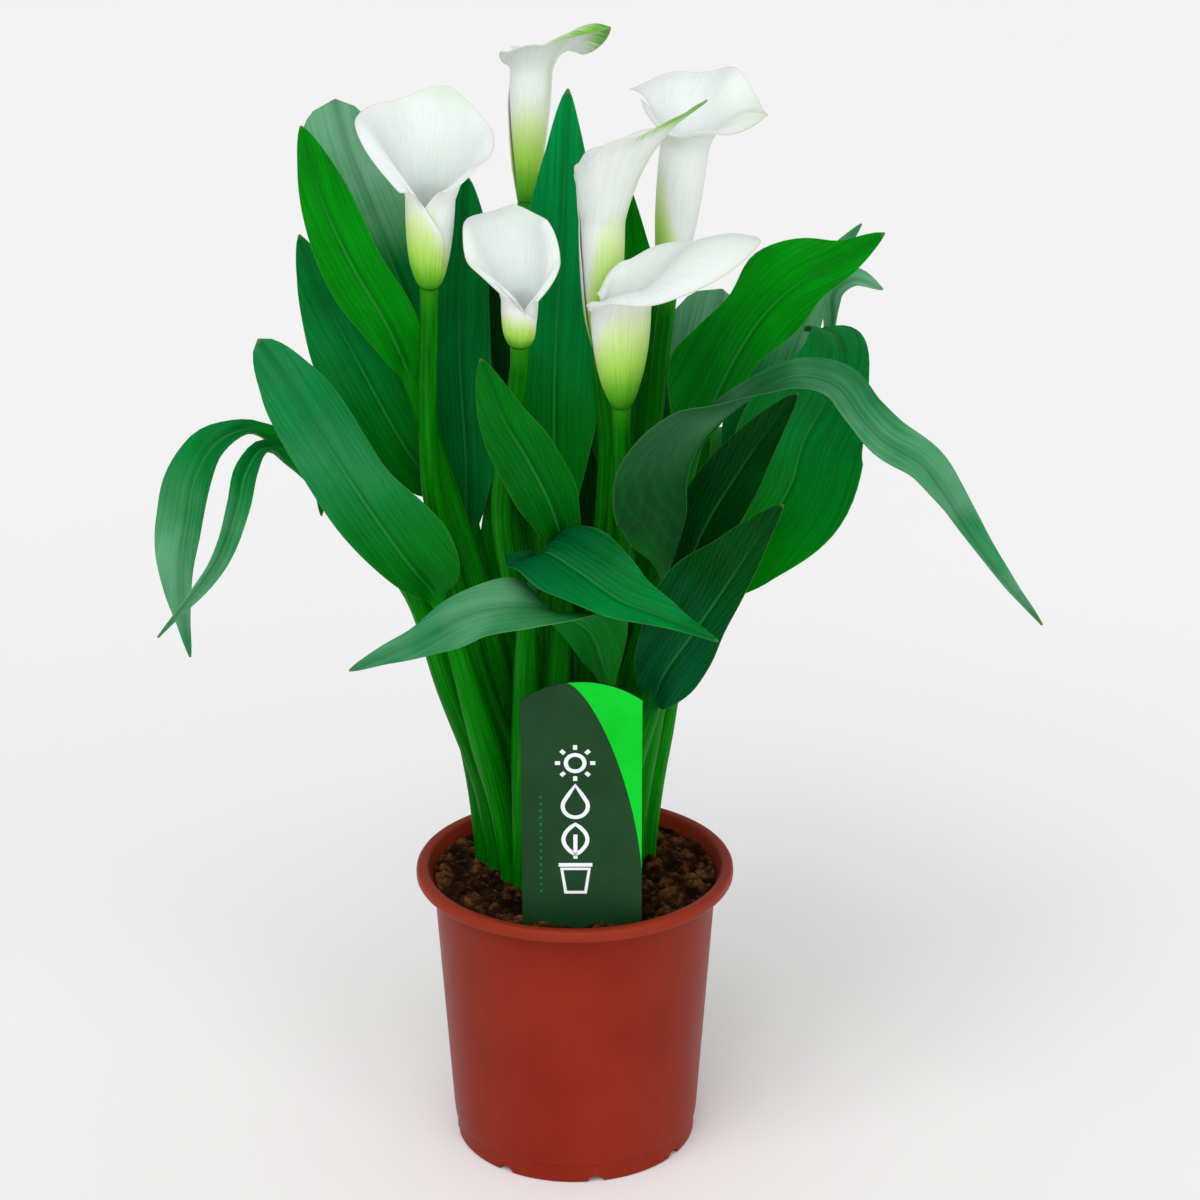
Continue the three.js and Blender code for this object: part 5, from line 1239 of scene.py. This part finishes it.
def corner_outline():
    """The bright corner: everything on the right of a long arc."""
    right = LABEL_WIDTH / 2 - PRINT_MARGIN
    top = LABEL_TOP - 0.5
    bow = []
    for q in np.linspace(0, 1, 25):
        aside = math.sin(math.pi / 2 * q) ** (4 / 3)
        down = 1 - abs(math.cos(math.pi / 2 * q)) ** (4 / 3)
        bow.append((mix(CORNER_LEFT, right, aside), mix(top, CORNER_LOW, down)))
    crown = [
        (x, LABEL_TOP - CROWN_RADIUS + math.sqrt((CROWN_RADIUS - PRINT_MARGIN) ** 2 - x * x))
        for x in np.linspace(right, CORNER_LEFT, 17)
    ]
    return bow + crown[:-1]


# Each sign's lines around its middle (x, y), and whether each line is closed


def sun_sign(x, y):
    rays = [[arc(x, y, r, a, a, 1)[0] for r in SUN_RAYS] for a in range(0, 360, 45)]
    return [(arc(x, y, SUN_RADIUS, 0, 345, 24), True)] + [(ray, False) for ray in rays]


def drop_sign(x, y):
    low = arc(x, y - 2, DROP_RADIUS, 150, 390, 20)
    return [([*low, (x + 2.6, y + 3.2), (x, y + 7.2), (x - 2.6, y + 3.2)], True)]


def leaf_sign(x, y):
    right = []
    for q in np.linspace(0, 1, 13):
        right.append((x + 4.7 * math.sin(math.pi * q) ** 0.8, y - 6.6 + 13.6 * q))
    left = [(2 * x - a, b) for a, b in right[-2:0:-1]]
    return [(right + left, True), ([(x, y - 8.4), (x, y + 2.4)], False)]


def pot_sign(x, y):
    wall = [(x - 5.4, y + 4), (x + 5.4, y + 4), (x + 3.9, y - 6.6), (x - 3.9, y - 6.6)]
    return [(wall, True), ([(x - 6.6, y + 5.8), (x + 6.6, y + 5.8)], False)]


def make_label():
    front = LABEL_THICKNESS / 2
    points, faces = slab(card_outline(), -front, front)
    card = print_material("label_card", "#173a1c", "#1d4223")
    piece("plant_label", points, faces, card, ("plant_label",), smooth_to=30)
    points, faces = slab(corner_outline(), front - PRINT_DEPTH, front + PRINT_RISE - 0.01)
    bright = print_material("label_bright", "#00b41c", "#00cc2c")
    piece("label_bright_area", points, faces, bright, smooth_to=30)
    # Plain garden signs, where the lettering was left out, and a row of small dots.
    depth = (front - PRINT_DEPTH, front + PRINT_RISE)
    signs = zip((sun_sign, drop_sign, leaf_sign, pot_sign), SIGN_HEIGHTS)
    lines = [line for sign, height in signs for line in sign(SIGN_X, height)]
    points, faces = joined([stroke(line, SIGN_LINE, closed, *depth) for line, closed in lines])
    white = print_material("label_white", "#dfe3ea", "#f0f2f7")
    piece("label_signs", points, faces, white, smooth_to=30)
    rounds = [arc(DOT_X, height, DOT_RADIUS, 0, 330, 12) for height in DOT_HEIGHTS]
    points, faces = joined([slab(outline, *depth) for outline in rounds])
    green = print_material("label_green", "#0b6a33", "#0f7a3c")
    piece("label_dots", points, faces, green, smooth_to=30)


# Stage


def make_stage():
    m = Shade("studio_floor")
    speck = m.noise(m.spot(), 3.0, 2.0)
    m.set(Base_Color=m.blend(speck, colour("#fafafa"), colour("#fcfcfc")), Roughness=0.9)
    corners = [(-9, -5, 0), (9, -5, 0), (9, 13, 0), (-9, 13, 0)]
    ground = placed("studio_floor", new_mesh("studio_floor", corners, [[0, 1, 2, 3]]))
    ground.data.materials.append(m.material)

    world = bpy.data.worlds.new("studio")
    world.use_nodes = True
    sky = world.node_tree.nodes["Background"].inputs
    sky["Color"].default_value = (1, 1, 1, 1)
    sky["Strength"].default_value = SKY
    bpy.context.scene.world = world
    for name, aim, strength, spread in SUNS:
        lamp = placed(name, bpy.data.lights.new(name, "SUN"))
        lamp.data.energy = strength
        lamp.data.angle = math.radians(spread)
        lamp.rotation_euler = Vector(aim).to_track_quat("Z", "Y").to_euler()

    camera = placed("camera", bpy.data.cameras.new("camera"))
    camera.location = CAMERA_PLACE
    camera.rotation_euler = (math.radians(CAMERA_TILT), 0, 0)
    camera.data.lens = CAMERA_LENS
    camera.data.sensor_width = SENSOR
    camera.data.clip_end = 100
    bpy.context.scene.camera = camera
    bpy.context.scene.view_settings.view_transform = "Standard"


make_stage()
make_pot(pot_material())
make_soil(soil_material())
make_label()
greens = {}
for leaf in LEAVES:
    pair = (leaf.tint, leaf.outer or leaf.tint)
    if pair not in greens:
        greens[pair] = leaf_material(*pair)
    make_leaf(leaf, greens[pair])
stalk_green, spadix_yellow = scape_material(), spadix_material()
for bloom in BLOOMS:
    make_scape(bloom, stalk_green)
    make_spathe(bloom)
    make_spadix(bloom, spadix_yellow)
